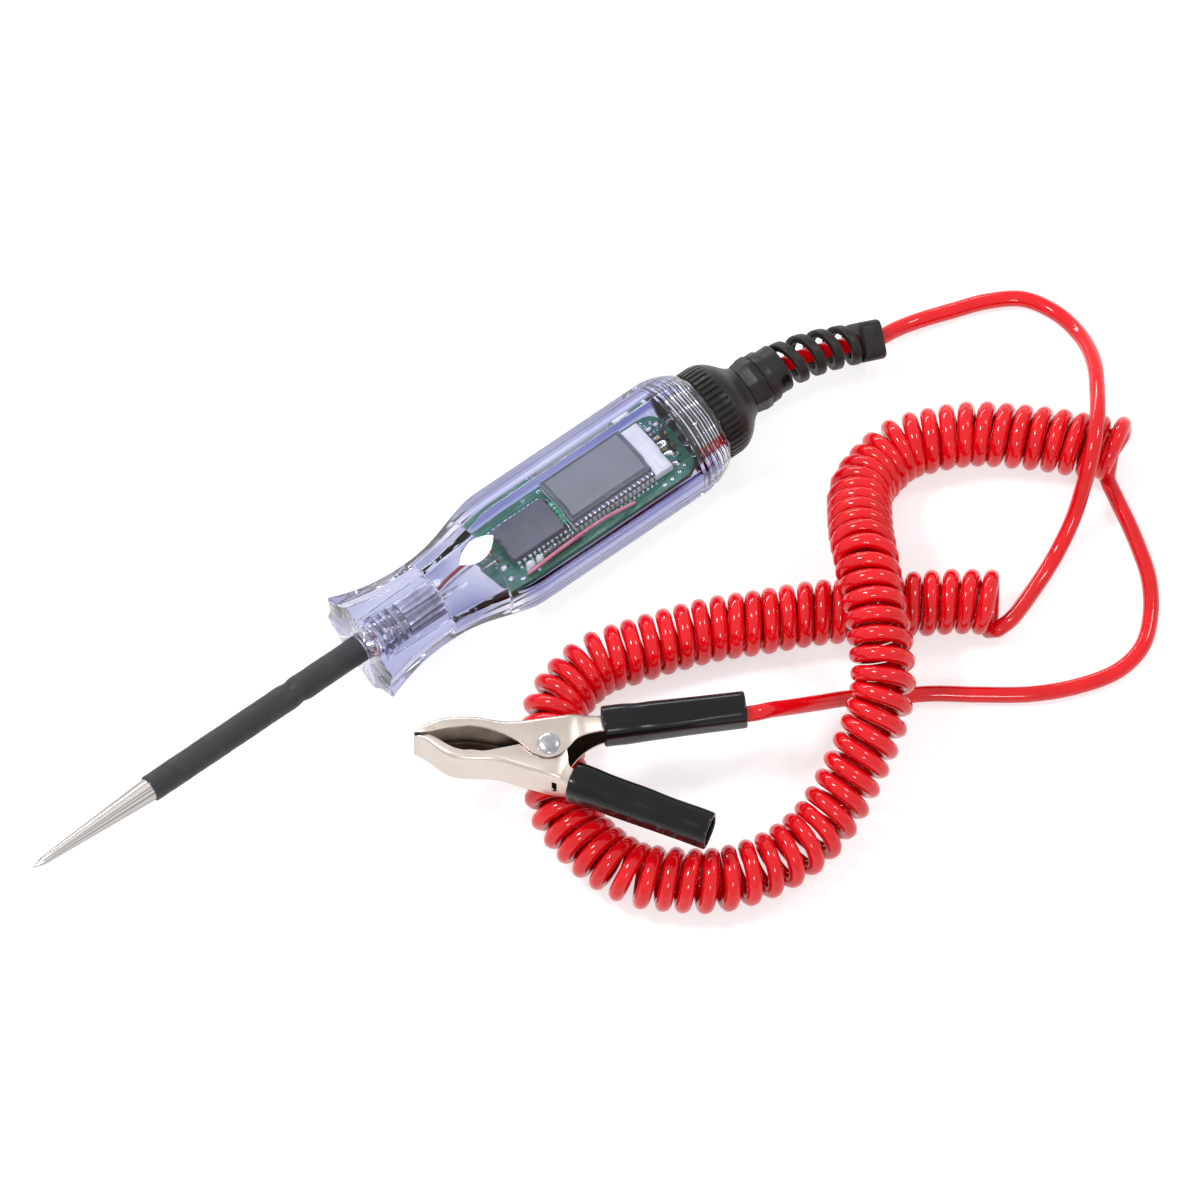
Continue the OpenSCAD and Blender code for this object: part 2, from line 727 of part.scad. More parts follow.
// ---------------------------------------------------------------- lead

module lead_tail_handle() {
    color([0.85, 0.05, 0.1]) cord(concat(relief_route, handle_route), lead_r, 8);
}

module lead_curl() {
    color([0.85, 0.05, 0.1]) cord(curl_route, curl_d / 2, 12);
}

module lead_tail_clip() {
    color([0.85, 0.05, 0.1]) cord(concat(clip_route, [lead_mouth, lead_end]), lead_r, 8);
}

// ---------------------------------------------------------------- clip

// Outline of a clip handle's channel
function handle_outline(root, turn, outer) = [
    handle_point(root, turn, 0, outer * clip_handle_w / 2),
    handle_point(root, turn, clip_handle_len, outer * clip_handle_w / 2),
    handle_point(root, turn, clip_handle_len, -outer * clip_handle_w / 2),
    handle_point(root, turn, 0, -outer * clip_handle_w / 2)
];

// Places on a jaw given in shares of its length
function along_jaw(places) = [for (p = places) jaw_len * p];

// Fixed jaw seen from above: its outside from the tip back, its handle's root, its inside
fixed_outline = concat(
    along_jaw([[1, -0.103], [0.865, -0.192], [0.737, -0.231], [0.545, -0.231], [0.365, -0.196],
               [0.215, -0.199], [0, -0.231]]),
    [handle_point(fixed_root, fixed_turn, 3, clip_handle_w / 2),
     handle_point(fixed_root, fixed_turn, 3, -clip_handle_w / 2)],
    along_jaw([[-0.304, -0.135], [-0.176, -0.048], [-0.09, 0.077], [0, 0.103], [0.077, 0.083],
               [0.16, 0.032], [0.202, -0.006], [0.321, -0.077], [0.458, -0.131], [0.609, -0.151],
               [0.737, -0.135], [0.859, -0.103]])
);

// Moving jaw seen from above, in the same order
moving_outline = concat(
    along_jaw([[0.994, -0.093], [0.949, -0.077], [0.83, 0.026], [0.712, 0.096], [0.551, 0.112],
               [0.417, 0.115], [0.272, 0.154], [0.064, 0.218]]),
    [handle_point(moving_root, moving_turn, 0, -clip_handle_w / 2),
     handle_point(moving_root, moving_turn, 0, clip_handle_w / 2)],
    along_jaw([[-0.128, 0], [0.128, -0.019], [0.199, -0.013], [0.365, 0.019], [0.497, 0.042],
               [0.625, 0.032], [0.737, -0.003], [0.859, -0.093]])
);

// Open channel from an outline, with its web on the outer side (-1 or 1 in Y)
module channel(outline, height, outer) {
    difference() {
        linear_extrude(height = height, center = true) polygon(outline);
        translate([0, -outer * sheet_t, 0])
            linear_extrude(height = height - 2 * sheet_t, center = true) polygon(outline);
    }
}

// Way from the moving jaw's channel into its handle's channel
module handle_mouth() {
    start = handle_point(moving_root, moving_turn, -2 * sheet_t, 0);
    translate([0, -sheet_t, 0])
        linear_extrude(height = clip_handle_h - 2 * sheet_t, center = true)
            polygon(handle_outline(start, moving_turn, -1));
}

// Wedge that narrows a jaw's channel to the height of its handle
module jaw_taper(height, from_x, to_x) {
    depth = 60;
    rotate([90, 0, 0])
        linear_extrude(height = depth, center = true)
            polygon([[depth, -height], [depth, height], [from_x, height / 2 + cut],
                     [to_x, clip_handle_h / 2], [-depth, clip_handle_h / 2],
                     [-depth, -clip_handle_h / 2], [to_x, -clip_handle_h / 2],
                     [from_x, -height / 2 - cut]]);
}

// Round ears on both sides of a jaw, bored for the rivet
module ears(height, r) {
    for (s = [-1, 1])
        translate([0, 0, s * (height - sheet_t) / 2])
            cylinder(h = sheet_t, r = r, center = true);
}

module clip_fixed_jaw() {
    color([0.82, 0.78, 0.72])
        on_clip()
            difference() {
                union() {
                    intersection() {
                        channel(fixed_outline, clip_h, -1);
                        jaw_taper(clip_h, -7, -13);
                    }
                    channel(handle_outline(fixed_root, fixed_turn, 1), clip_handle_h, -1);
                }
                cylinder(h = 2 * clip_h, d = rivet_d, center = true);
            }
}

module clip_moving_jaw() {
    slot = [1.5, 4, 6];
    slot_at = jaw_len * [-0.045, 0.256, 0];
    color([0.82, 0.78, 0.72])
        on_clip()
            difference() {
                union() {
                    channel(moving_outline, moving_h, 1);
                    ears(moving_h, moving_ear_r);
                    channel(handle_outline(moving_root, moving_turn, -1), clip_handle_h, 1);
                }
                handle_mouth();
                cylinder(h = 2 * clip_h, d = rivet_d + 2 * rivet_gap, center = true);
                translate(slot_at) cube(slot, center = true);
            }
}

module clip_rivet() {
    half = clip_h / 2;
    head_r = rivet_head_d / 2;
    color([0.88, 0.88, 0.87])
        on_clip() {
            cylinder(h = clip_h, d = rivet_d, center = true);
            for (s = [0, 1])
                mirror([0, 0, s])
                    translate([0, 0, half])
                        rotate_extrude()
                            polygon([[0, 0], [head_r, 0], [head_r * 0.92, rivet_head_h * 0.45],
                                     [head_r * 0.6, rivet_head_h * 0.9], [0, rivet_head_h]]);
        }
}

// Torsion spring round the rivet, with a leg along each handle's web
module clip_spring() {
    wire_r = spring_wire_d / 2;
    mean_r = spring_d / 2 - wire_r;
    pitch = spring_wire_d * 0.94;
    half = pitch * (spring_turns - 1) / 2;
    leg_len = 13.5;
    color([0.6, 0.6, 0.6])
        on_clip() {
            for (i = [0 : spring_turns - 1])
                translate([0, 0, pitch * i - half])
                    rotate_extrude() translate([mean_r, 0]) circle(r = wire_r, $fn = 24);
            translate([1, -mean_r, half]) rotate([0, 90, 198]) cylinder(h = leg_len, r = wire_r);
            translate([1, mean_r, -half]) rotate([0, 90, 150]) cylinder(h = leg_len, r = wire_r);
        }
}

// Rectangle with rounded corners
module soft_rectangle(width, height, r) {
    square([width - 2 * r, height], center = true);
    square([width, height - 2 * r], center = true);
    for (x = [-1, 1], y = [-1, 1])
        translate([x * (width / 2 - r), y * (height / 2 - r)]) circle(r = r);
}

// Soft sleeve over a clip handle, open at both ends
module handle_sleeve(root, turn) {
    place = handle_point(root, turn, sleeve_start, 0);
    overhang = 2;
    translate([place[0], place[1], 0])
        rotate([0, 0, turn])
            rotate([0, 90, 0])
                linear_extrude(height = clip_handle_len - sleeve_start + overhang)
                    difference() {
                        soft_rectangle(sleeve_h, sleeve_w, 2.4);
                        square([clip_handle_h, sleeve_w - 2 * soft_wall], center = true);
                    }
}

module clip_fixed_sleeve() {
    color([0.14, 0.145, 0.15]) on_clip() handle_sleeve(fixed_root, fixed_turn);
}

module clip_moving_sleeve() {
    color([0.14, 0.145, 0.15]) on_clip() handle_sleeve(moving_root, moving_turn);
}

// Barrel crimped on the lead's bared end inside the fixed handle
module wire_crimp() {
    place = handle_point(fixed_root, fixed_turn, crimp_end - crimp_len, crimp_off);
    color([0.75, 0.7, 0.6])
        on_clip()
            translate([place[0], place[1], 0])
                rotate([0, 0, fixed_turn]) rotate([0, 90, 0])
                    cylinder(h = crimp_len, r = crimp_r);
}

handle_shell();
probe_needle();
probe_sleeve();
probe_wire();
circuit_board();
backlight_slab();
lcd_glass();
lcd_film();
lcd_pins();
controller_chip();
chip_pins();
board_resistor();
indicator_leds();
header_block();
header_pins();
surface_parts();
solder_joints();
bridge_wire();
lead_wire();
end_cap();
strain_relief();
cable_stop();
lead_tail_handle();
lead_curl();
lead_tail_clip();
clip_fixed_jaw();
clip_moving_jaw();
clip_rivet();
clip_spring();
clip_fixed_sleeve();
clip_moving_sleeve();
wire_crimp();
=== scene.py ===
from math import atan2, cos, degrees, exp, hypot, pi, radians, sin, sqrt, tan
import bmesh
import bpy
from mathutils import Matrix, Vector


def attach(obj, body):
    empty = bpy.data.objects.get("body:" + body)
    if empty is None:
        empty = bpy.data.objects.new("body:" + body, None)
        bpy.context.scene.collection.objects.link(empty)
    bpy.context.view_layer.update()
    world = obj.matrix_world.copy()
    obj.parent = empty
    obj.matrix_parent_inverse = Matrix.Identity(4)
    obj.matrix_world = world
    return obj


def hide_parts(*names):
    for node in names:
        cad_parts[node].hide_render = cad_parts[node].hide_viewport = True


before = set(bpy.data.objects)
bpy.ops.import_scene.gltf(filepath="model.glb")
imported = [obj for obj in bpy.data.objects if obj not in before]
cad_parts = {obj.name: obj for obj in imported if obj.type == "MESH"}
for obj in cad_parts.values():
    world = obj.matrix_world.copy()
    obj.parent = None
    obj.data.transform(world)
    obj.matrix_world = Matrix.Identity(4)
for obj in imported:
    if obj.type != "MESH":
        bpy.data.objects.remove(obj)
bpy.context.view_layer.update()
MM = 0.001
AXIS_Z = 14.3
# Signs of the corners of a rectangle, and the angle in degrees at which the round of each begins.
CORNERS = ((1, 1, 0), (-1, 1, 90), (-1, -1, 180), (1, -1, 270))


# ---------------------------------------------------------------- general helpers

def ease(u):
    u = min(max(u, 0.0), 1.0)
    return u * u * (3 - 2 * u)


def straight(table, x, bend=lambda share: share):
    """Value at x from a table of (x, value) pairs, joined by straight lines unless a bend is given."""
    if x <= table[0][0]:
        return table[0][1]
    for (x0, v0), (x1, v1) in zip(table, table[1:]):
        if x <= x1:
            return v0 + (v1 - v0) * bend((x - x0) / (x1 - x0))
    return table[-1][1]


def after(start, stop, count):
    """Numbers in equal steps from just after start up to stop."""
    return [start + (stop - start) * k / count for k in range(1, count + 1)]


def circle(count):
    """Angles of one full turn in equal steps."""
    return [2 * pi * k / count for k in range(count)]


def hoop(x, r, count, high=0.0):
    """Circle of points across the X direction."""
    return [(x, r * cos(w), high + r * sin(w)) for w in circle(count)]


def smooth_line(points, step):
    """Points about step apart on a smooth curve through the given points (centripetal Catmull-Rom)."""
    pts = [Vector(p) for p in points]
    pts = [2 * pts[0] - pts[1], *pts, 2 * pts[-1] - pts[-2]]
    fine, parts = [], 24
    for p0, p1, p2, p3 in zip(pts, pts[1:], pts[2:], pts[3:]):
        t1 = (p1 - p0).length ** 0.5
        t2 = t1 + (p2 - p1).length ** 0.5
        t3 = t2 + (p3 - p2).length ** 0.5
        for k in range(parts):
            t = t1 + (t2 - t1) * k / parts
            a1 = p0 * ((t1 - t) / t1) + p1 * (t / t1)
            a2 = p1 * ((t2 - t) / (t2 - t1)) + p2 * ((t - t1) / (t2 - t1))
            a3 = p2 * ((t3 - t) / (t3 - t2)) + p3 * ((t - t2) / (t3 - t2))
            b1 = a1 * ((t2 - t) / t2) + a2 * (t / t2)
            b2 = a2 * ((t3 - t) / (t3 - t1)) + a3 * ((t - t1) / (t3 - t1))
            fine.append(b1 * ((t2 - t) / (t2 - t1)) + b2 * ((t - t1) / (t2 - t1)))
    fine.append(pts[-2])
    return respace(fine, step)


def respace(fine, step):
    """The same line with points at equal distances of about step."""
    far = [0.0]
    for a, b in zip(fine, fine[1:]):
        far.append(far[-1] + (b - a).length)
    count = max(2, round(far[-1] / step))
    out, j = [], 0
    for k in range(count + 1):
        s = far[-1] * k / count
        while j < len(fine) - 2 and far[j + 1] < s:
            j += 1
        f = (s - far[j]) / max(far[j + 1] - far[j], 1e-9)
        out.append(fine[j].lerp(fine[j + 1], min(max(f, 0), 1)))
    return out


def line_length(points):
    return sum((b - a).length for a, b in zip(points, points[1:]))


def heading(points, i):
    """Direction of a line of points at its point i."""
    return (points[min(i + 1, len(points) - 1)] - points[max(i - 1, 0)]).normalized()


def frames_along(points):
    """(point, direction, side, up) at each point, with side level."""
    out = []
    for i, p in enumerate(points):
        d = heading(points, i)
        side = d.cross(Vector((0, 0, 1))).normalized()
        out.append((p, d, side, side.cross(d)))
    return out


def frame_at(frames, share):
    """(point, direction, side, up) at a share, from 0 to 1, of the way along equally spaced frames."""
    f = min(max(share, 0), 1) * (len(frames) - 1)
    i = min(int(f), len(frames) - 2)
    return [a.lerp(b, f - i) for a, b in zip(frames[i], frames[i + 1])]


def moved(base, place, turn, axis):
    """A frame at a place in the base frame, turned by so many degrees about an axis."""
    return base @ Matrix.Translation(place) @ Matrix.Rotation(radians(turn), 4, axis)


def put(name, data):
    obj = bpy.data.objects.new(name, data)
    bpy.context.scene.collection.objects.link(obj)
    return obj


def colour(code):
    """Linear colour from a six-digit sRGB code."""
    out = []
    for i in (0, 2, 4):
        c = int(code[i:i + 2], 16) / 255
        out.append(c / 12.92 if c <= 0.04045 else ((c + 0.055) / 1.055) ** 2.4)
    return (*out, 1.0)


# ---------------------------------------------------------------- shapes, all in millimetres

HERE = Matrix.Identity(4)
AXIS = Matrix.Translation((0, 0, AXIS_Z))
BOARD = moved(HERE, (27.95, 0, AXIS_Z), -20, "X")
CLIP = moved(HERE, (7.8, -51.8, 23.6), 143.4, "Z")


def shade(mesh, sharp):
    """Smooth shading, broken at edges that turn by more than so many degrees."""
    for polygon in mesh.polygons:
        polygon.use_smooth = True
    mesh.set_sharp_from_angle(angle=radians(sharp))


class Shape:
    """Points and faces of a piece, gathered from several solids. A mark picks a solid's material."""

    def __init__(self):
        self.verts, self.faces, self.marks = [], [], []

    def rings(self, rings, at=HERE, mark=0, loop=False):
        """Skin over rings of equally many points, closed at both ends, or joined into a loop."""
        count, total, n = len(rings[0]), len(rings), len(self.verts)
        self.verts += [at @ Vector(v) for r in rings for v in r]
        faces = []
        for i in range(total if loop else total - 1):
            a, b = n + i * count, n + (i + 1) % total * count
            faces += [(a + k, a + (k + 1) % count, b + (k + 1) % count, b + k) for k in range(count)]
        if not loop:
            faces.append(tuple(n + k for k in range(count))[::-1])
            faces.append(tuple(n + (total - 1) * count + k for k in range(count)))
        self.faces += faces
        self.marks += [mark] * len(faces)
        return self

    def block(self, low, size, at=HERE, mark=0, bevel=0.12):
        """Block with bevelled edges, from its low corner and its size."""
        (x, y, z), (a, b, c) = low, size
        bevel = min(bevel, a * 0.22, b * 0.22, c * 0.22)
        lower = [(z, bevel), (z + bevel * 0.3, bevel * 0.3), (z + bevel, 0)]
        upper = [(z + c - bevel, 0), (z + c - bevel * 0.3, bevel * 0.3), (z + c, bevel)]
        rings = []
        for h, inset in lower + upper:
            rings.append([])
            for sx, sy, base in CORNERS:
                cx, cy = x + a * (sx > 0) - sx * (bevel + inset), y + b * (sy > 0) - sy * (bevel + inset)
                rings[-1] += [(cx + bevel * cos(w), cy + bevel * sin(w), h)
                              for w in (radians(base), radians(base + 45), radians(base + 90))]
        return self.rings(rings, at, mark)

    def lathe(self, profile, count=32, at=HERE, mark=0, loop=False):
        """Solid of revolution about +X from (x, r) pairs."""
        return self.rings([hoop(x, r, count) for x, r in profile], at, mark, loop)

    def tube(self, line, radius, count=12, at=HERE, mark=0):
        """Round wire along a line, with domed ends."""
        pts = [Vector(p) for p in line]
        rings = []
        normal = heading(pts, 0).orthogonal().normalized()
        for i, p in enumerate(pts):
            d = heading(pts, i)
            normal = (normal - d * normal.dot(d)).normalized()
            other = d.cross(normal)
            steps = [(0, 1)]
            if i == 0:
                steps = [(-0.9, 0.3), (-0.6, 0.75), (0, 1)]
            if i == len(pts) - 1:
                steps = [(0, 1), (0.6, 0.75), (0.9, 0.3)]
            for ahead, share in steps:
                rings.append([p + d * ahead * radius + radius * share * (cos(w) * normal + sin(w) * other)
                              for w in circle(count)])
        return self.rings(rings, at, mark)

    def mesh(self, name, materials=()):
        """The solids as one mesh with every face looking outward."""
        mesh = bpy.data.meshes.new(name)
        mesh.from_pydata([v * MM for v in self.verts], [], self.faces)
        for material in materials:
            mesh.materials.append(material)
        if len(materials) > 1:
            for polygon, mark in zip(mesh.polygons, self.marks):
                polygon.material_index = mark
        bm = bmesh.new()
        bm.from_mesh(mesh)
        bmesh.ops.remove_doubles(bm, verts=bm.verts, dist=1e-7)
        bmesh.ops.recalc_face_normals(bm, faces=bm.faces)
        bm.to_mesh(mesh)
        bm.free()
        return mesh

    def make(self, name, body, materials, slot, *nodes, sharp=32):
        """The finished piece, which rides on a body and stands for CAD nodes."""
        obj = put(name, self.mesh(name, materials if isinstance(materials, list) else [materials]))
        shade(obj.data, sharp)
        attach(obj, body)
        if nodes:
            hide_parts(*nodes)
        return obj


# ---------------------------------------------------------------- material helpers

class Finish:
    """A Principled material whose colour, roughness and bump come from procedural nodes.

    Wherever a value is asked for, it may be a number, a colour code or another node's socket.
    """

    def __init__(self, name, base, rough, **constants):
        self.mat = bpy.data.materials.new(name)
        self.mat.use_nodes = True
        self.nt = self.mat.node_tree
        self.shader = self.nt.nodes["Principled BSDF"]
        self.where = self.node("TexCoord").outputs["Object"]
        self.set("Base Color", base)
        self.set("Roughness", rough)
        for key, value in constants.items():
            self.set(key.replace("_", " "), value)

    def feed(self, socket, value):
        if isinstance(value, bpy.types.NodeSocket):
            self.nt.links.new(value, socket)
        else:
            socket.default_value = colour(value) if isinstance(value, str) else value

    def set(self, key, value):
        self.feed(self.shader.inputs[key], value)

    def node(self, kind, values=None, **settings):
        n = self.nt.nodes.new("ShaderNode" + kind)
        for key, value in settings.items():
            setattr(n, key, value)
        for key, value in (values or {}).items():
            self.feed(n.inputs[key], value)
        return n

    def place(self, scale=(1, 1, 1), turn=(0, 0, 0), shift=(0, 0, 0)):
        """Coordinates in millimetres in the part's frame, then scaled."""
        scale = [1000 * s for s in scale]
        values = {"Vector": self.where, "Scale": scale, "Rotation": turn, "Location": shift}
        return self.node("Mapping", values).outputs[0]

    def noise(self, size, detail=3.0, rough=0.5, stretch=(1, 1, 1)):
        """Noise of features about size millimetres wide."""
        spot = self.place([s / size for s in stretch])
        values = {"Scale": 1.0, "Detail": detail, "Roughness": rough, "Vector": spot}
        return self.node("TexNoise", values).outputs["Fac"]

    def spread(self, source, low, high, to_low=0.0, to_high=1.0):
        values = {"Value": source, "From Min": low, "From Max": high, "To Min": to_low, "To Max": to_high}
        return self.node("MapRange", values).outputs[0]

    def split(self, source):
        return self.node("SeparateXYZ", {0: source}).outputs

    def math(self, how, *terms):
        return self.node("Math", dict(enumerate(terms)), operation=how).outputs[0]

    def blend(self, share, a, b):
        """Colour between a and b."""
        return self.node("Mix", {0: share, 6: a, 7: b}, data_type="RGBA").outputs[2]

    def bump(self, source, depth, strength=1.0):
        """Raises the surface by up to depth millimetres where the source is 1."""
        values = {"Strength": strength, "Distance": depth * MM, "Height": source}
        self.set("Normal", self.node("Bump", values).outputs[0])


# ---------------------------------------------------------------- materials

def clear_plastic(name, pale, deep, index):
    """Clear moulded plastic with faint flow marks, which lets the lamps through; its deep colour is painted
    violet shade.

    The deep colour is laid by place, where the photograph shows the wall edge-on: along both sides of the
    barrel, and beside the nose, less towards the middle.
    """
    f = Finish(name, pale, 0.02, IOR=index, Transmission_Weight=1.0)
    f.set("Roughness", f.spread(f.noise(14, 4), 0.35, 0.75, 0.01, 0.044))
    f.bump(f.noise(9, 2, stretch=(0.25, 1, 1)), 0.05, 0.3)
    x, y, _ = f.split(f.place())
    # Masks of the painted violet shade, by place in the handle's frame: along both sides of the barrel and beside
    # the nose.
    far = f.spread(y, 8.6, 9.1)
    near = f.spread(y, -13.6, -13.1, 1.0, 0.0)
    edge = f.math("MULTIPLY", f.math("MAXIMUM", far, near), f.spread(x, 22, 33))
    shade_cloud = f.spread(f.noise(16, 2, stretch=(0.4, 1, 1)), 0.3, 0.7, 0.75, 1.0)
    shade_outward = f.spread(f.math("ABSOLUTE", y), 4.5, 9.5, 0.3, 0.75)
    nose = f.math("MULTIPLY", shade_outward, f.spread(x, 18, 30, 1.0, 0.0))
    # The pale colour is the plastic's own tint; the deep colour laid by these masks is painted shade of walls
    # seen edge-on.
    f.set("Base Color", f.blend(f.math("MAXIMUM", f.math("MULTIPLY", edge, shade_cloud), nose), pale, deep))
    path = f.node("LightPath").outputs
    lit = f.math("MAXIMUM", path["Is Shadow Ray"], path["Is Diffuse Ray"])
    through = f.node("BsdfTransparent", {0: (0.95, 0.95, 0.98, 1)}).outputs[0]
    mix = f.node("MixShader", {0: lit, 1: f.shader.outputs[0], 2: through})
    f.feed(f.nt.nodes["Material Output"].inputs["Surface"], mix.outputs[0])
    return f.mat


def metal(name, base, dark, rough, size=0.3, depth=0.01, patches=1.5):
    """Bare metal with grain, dull patches and small colour changes."""
    f = Finish(name, base, rough, Metallic=1.0)
    f.set("Base Color", f.blend(f.spread(f.noise(patches, 4), 0.4, 0.72), base, dark))
    f.set("Roughness", f.spread(f.noise(size * 3, 5, 0.6), 0.3, 0.75, rough * 0.85, rough * 1.2))
    f.bump(f.noise(size, 3, 0.6), depth)
    return f.mat


def turned_steel():
    """Plated shaft: painted reflections as light and dark bands along it, set by angle round the axis, and fine
    rings across it.
    """
    f = Finish("needle_steel", "cfccc7", 0.22, Metallic=1.0)
    _, y, z = f.split(f.place(shift=(0, 0, -AXIS_Z)))
    # Painted reflections: the ramp's light and dark bands, bright lines and dark lines are laid by angle round
    # the shaft.
    turn = f.node("TexGradient", {0: f.node("CombineXYZ", {0: y, 1: z}).outputs[0]}, gradient_type="RADIAL")
    bands = f.node("ValToRGB", {0: turn.outputs[1]})
    reflection_ramp = bands.color_ramp
    reflection_tones = ((0.557, "8f8a88"), (0.66, "b5afad"), (0.75, "d9d3d1"), (0.784, "dcd6d4"), (0.795, "8d8786"),
             (0.806, "e8e4e2"), (0.822, "e8e4e2"), (0.834, "5a5654"), (0.848, "f4f2f0"), (0.866, "f4f2f0"),
             (0.882, "aaa4a2"), (0.93, "cdc7c5"))
    for at, tone in reflection_tones:
        reflection_ramp.elements.new(at).color = colour(tone)
    reflection_ramp.elements[0].color = colour("a8a29f")
    reflection_ramp.elements[-1].color = colour("a09a97")
    grain = f.noise(0.35, 4, 0.6, (1, 0.12, 0.12))
    dull = f.math("MULTIPLY", f.spread(grain, 0.35, 0.7, 0.5, 0.8), 0.3)
    f.set("Base Color", f.blend(dull, bands.outputs[0], "8f8b86"))
    f.set("Roughness", f.spread(grain, 0.3, 0.75, 0.29, 0.32))
    f.bump(grain, 0.0001)
    return f.mat


def plastic(name, base, light, rough, size=0.5, depth=0.02, patches=5.0, **constants):
    """Moulded plastic or rubber with fine grain and uneven gloss."""
    f = Finish(name, base, rough, **constants)
    f.set("Base Color", f.blend(f.spread(f.noise(patches, 5), 0.4, 0.75), base, light))
    f.set("Roughness", f.spread(f.noise(patches * 0.6, 4), 0.3, 0.75, rough * 0.8, rough * 1.25))
    f.bump(f.noise(size, 4), depth)
    return f.mat


def board_mask():
    """Green solder mask over copper tracks, in the board's own frame."""
    f = Finish("board_green", "116049", 0.36, Specular_IOR_Level=0.3)
    bricks = {"Scale": 1.0, "Color1": (1, 1, 1, 1), "Color2": (0.4, 0.4, 0.4, 1), "Mortar": (0, 0, 0, 1),
              "Mortar Size": 0.16, "Mortar Smooth": 0.3, "Brick Width": 5.5, "Row Height": 0.95,
              "Vector": f.place(turn=(radians(20), 0, 0))}
    laid = f.spread(f.node("TexBrick", bricks).outputs["Color"], 0.1, 0.9)
    worn = f.noise(3.0, 4)
    f.set("Base Color", f.blend(laid, "0b4936", f.blend(f.spread(worn, 0.35, 0.7), "146a50", "1f7d62")))
    f.set("Roughness", f.spread(worn, 0.3, 0.7, 0.22, 0.42))
    f.bump(laid, 0.03)
    return f.mat


def cord_skin():
    """Glossy red jacket of the lead, with a faint drawn grain and slightly uneven dye."""
    f = Finish("lead_red", "e20613", 0.1, Specular_IOR_Level=0.5)
    f.set("Base Color", f.blend(f.spread(f.noise(9, 4), 0.35, 0.7), "da0410", "ec0a18"))
    f.set("Roughness", f.spread(f.noise(2.5, 4), 0.3, 0.75, 0.08, 0.14))
    f.bump(f.noise(0.9, 3), 0.003)
    return f.mat


glass = clear_plastic("clear_plastic", "eeeffa", "5c62ac", 1.49)
bore_clear = clear_plastic("bore_clear", "fafaff", "fafaff", 1.1)
needle_steel = turned_steel()
insert_metal = metal("insert_metal", "cfced2", "a5a3a8", 0.34, 0.5, 0.004, 2.0)
shrink = plastic("shrink_sleeve", "2f3032", "38393b", 0.5, 0.5, 0.025, 4.0, Specular_IOR_Level=0.3)
green = board_mask()
silver = metal("tinned_metal", "e2e2e4", "a9abb0", 0.22)
black = plastic("black_plastic", "1f1d1c", "292725", 0.36, 0.35, 0.015, Specular_IOR_Level=0.28)
rubber = plastic("relief_black", "201f1e", "2b2928", 0.4, 0.4, 0.02, 4.0, Specular_IOR_Level=0.28)
chip_black = plastic("chip_body", "3f4149", "4c4e57", 0.42, 0.15, 0.015, 2.0)
header_black = plastic("header_black", "1c1c1e", "2b2b2e", 0.4, 0.2, 0.01, 2.0)
white = plastic("white_plastic", "dcdde2", "e8e8ec", 0.35, 0.5, 0.01, 3.0)
lens = plastic("led_lens", "eef0f2", "ffffff", 0.25, 0.5, 0.01, 2.0, Transmission_Weight=0.35)
ceramic = plastic("tan_ceramic", "b98a5c", "d8b48a", 0.4, 0.3, 0.02, 1.0)
marks = plastic("board_ink", "d9e4de", "eef4f0", 0.5, 0.2, 0.01, 1.0)
face = plastic("display_film", "777b82", "7e8289", 0.45, 0.8, 0.004, 9.0, Specular_IOR_Level=0.2)
pane = plastic("display_glass", "62666d", "6e7279", 0.22, 0.8, 0.002, 6.0, Specular_IOR_Level=0.3)
edge_dark = plastic("display_edge", "34363b", "46484e", 0.3, 0.5, 0.005, 3.0)
pink = plastic("wire_pink", "c06a80", "d08a9c", 0.35, 0.4, 0.01, 3.0)
wire_red = plastic("wire_red", "8f1714", "a82a22", 0.35, 0.4, 0.01, 3.0)
dark_wire = plastic("dark_wire", "2b2729", "3a3638", 0.4, 0.4, 0.01, 3.0)
lacquer = plastic("green_lacquer", "3fb98a", "58cfa0", 0.22, 0.5, 0.01, 2.0, Coat_Weight=0.4)
nickel = metal("clip_nickel", "d8cbc1", "cfc1b6", 0.33, 1.2, 0.0004, 16.0)
# Darker copy of the clip nickel: painted shade for the inner side of the jaws' channel.
nickel_shaded_inside = metal("nickel_shaded_inside", "7c6c60", "5c4e44", 0.4, 0.6, 0.002, 6.0)
rivet_steel = metal("rivet_steel", "c6c8cc", "a9abb0", 0.2, 0.3, 0.001, 3.0)
spring_steel = metal("spring_steel", "a8a6a2", "7d7a76", 0.28)
sleeve_black = plastic("sleeve_black", "0d0e10", "131517", 0.2, 1.2, 0.01, 8.0, Specular_IOR_Level=0.3)
red = cord_skin()


# ---------------------------------------------------------------- camera

FOCAL, SENSOR = 1000, 36
FRAME_WIDTH = 279.07
look_at = Vector((47.7, -18.0, 0)) * MM
azimuth, elevation = radians(-36.6), radians(65)
back = Vector((sin(azimuth) * cos(elevation), -cos(azimuth) * cos(elevation), sin(elevation)))
camera_data = bpy.data.cameras.new("camera")
camera_data.lens = FOCAL
camera_data.sensor_width = SENSOR
camera_data.clip_start = 0.05
camera_data.clip_end = 50
camera = put("camera", camera_data)
camera.location = look_at + back * (FRAME_WIDTH * MM / SENSOR * FOCAL)
camera.rotation_euler = (-back).to_track_quat("-Z", "Y").to_euler()
bpy.context.scene.camera = camera


# ---------------------------------------------------------------- routes of the lead, in millimetres

lead_r = 1.9
CURL_Z = 7.75


def route(height, rows):
    """Points of a route; a row without a height of its own lies at the given one."""
    return [(*row, height)[:3] for row in rows]


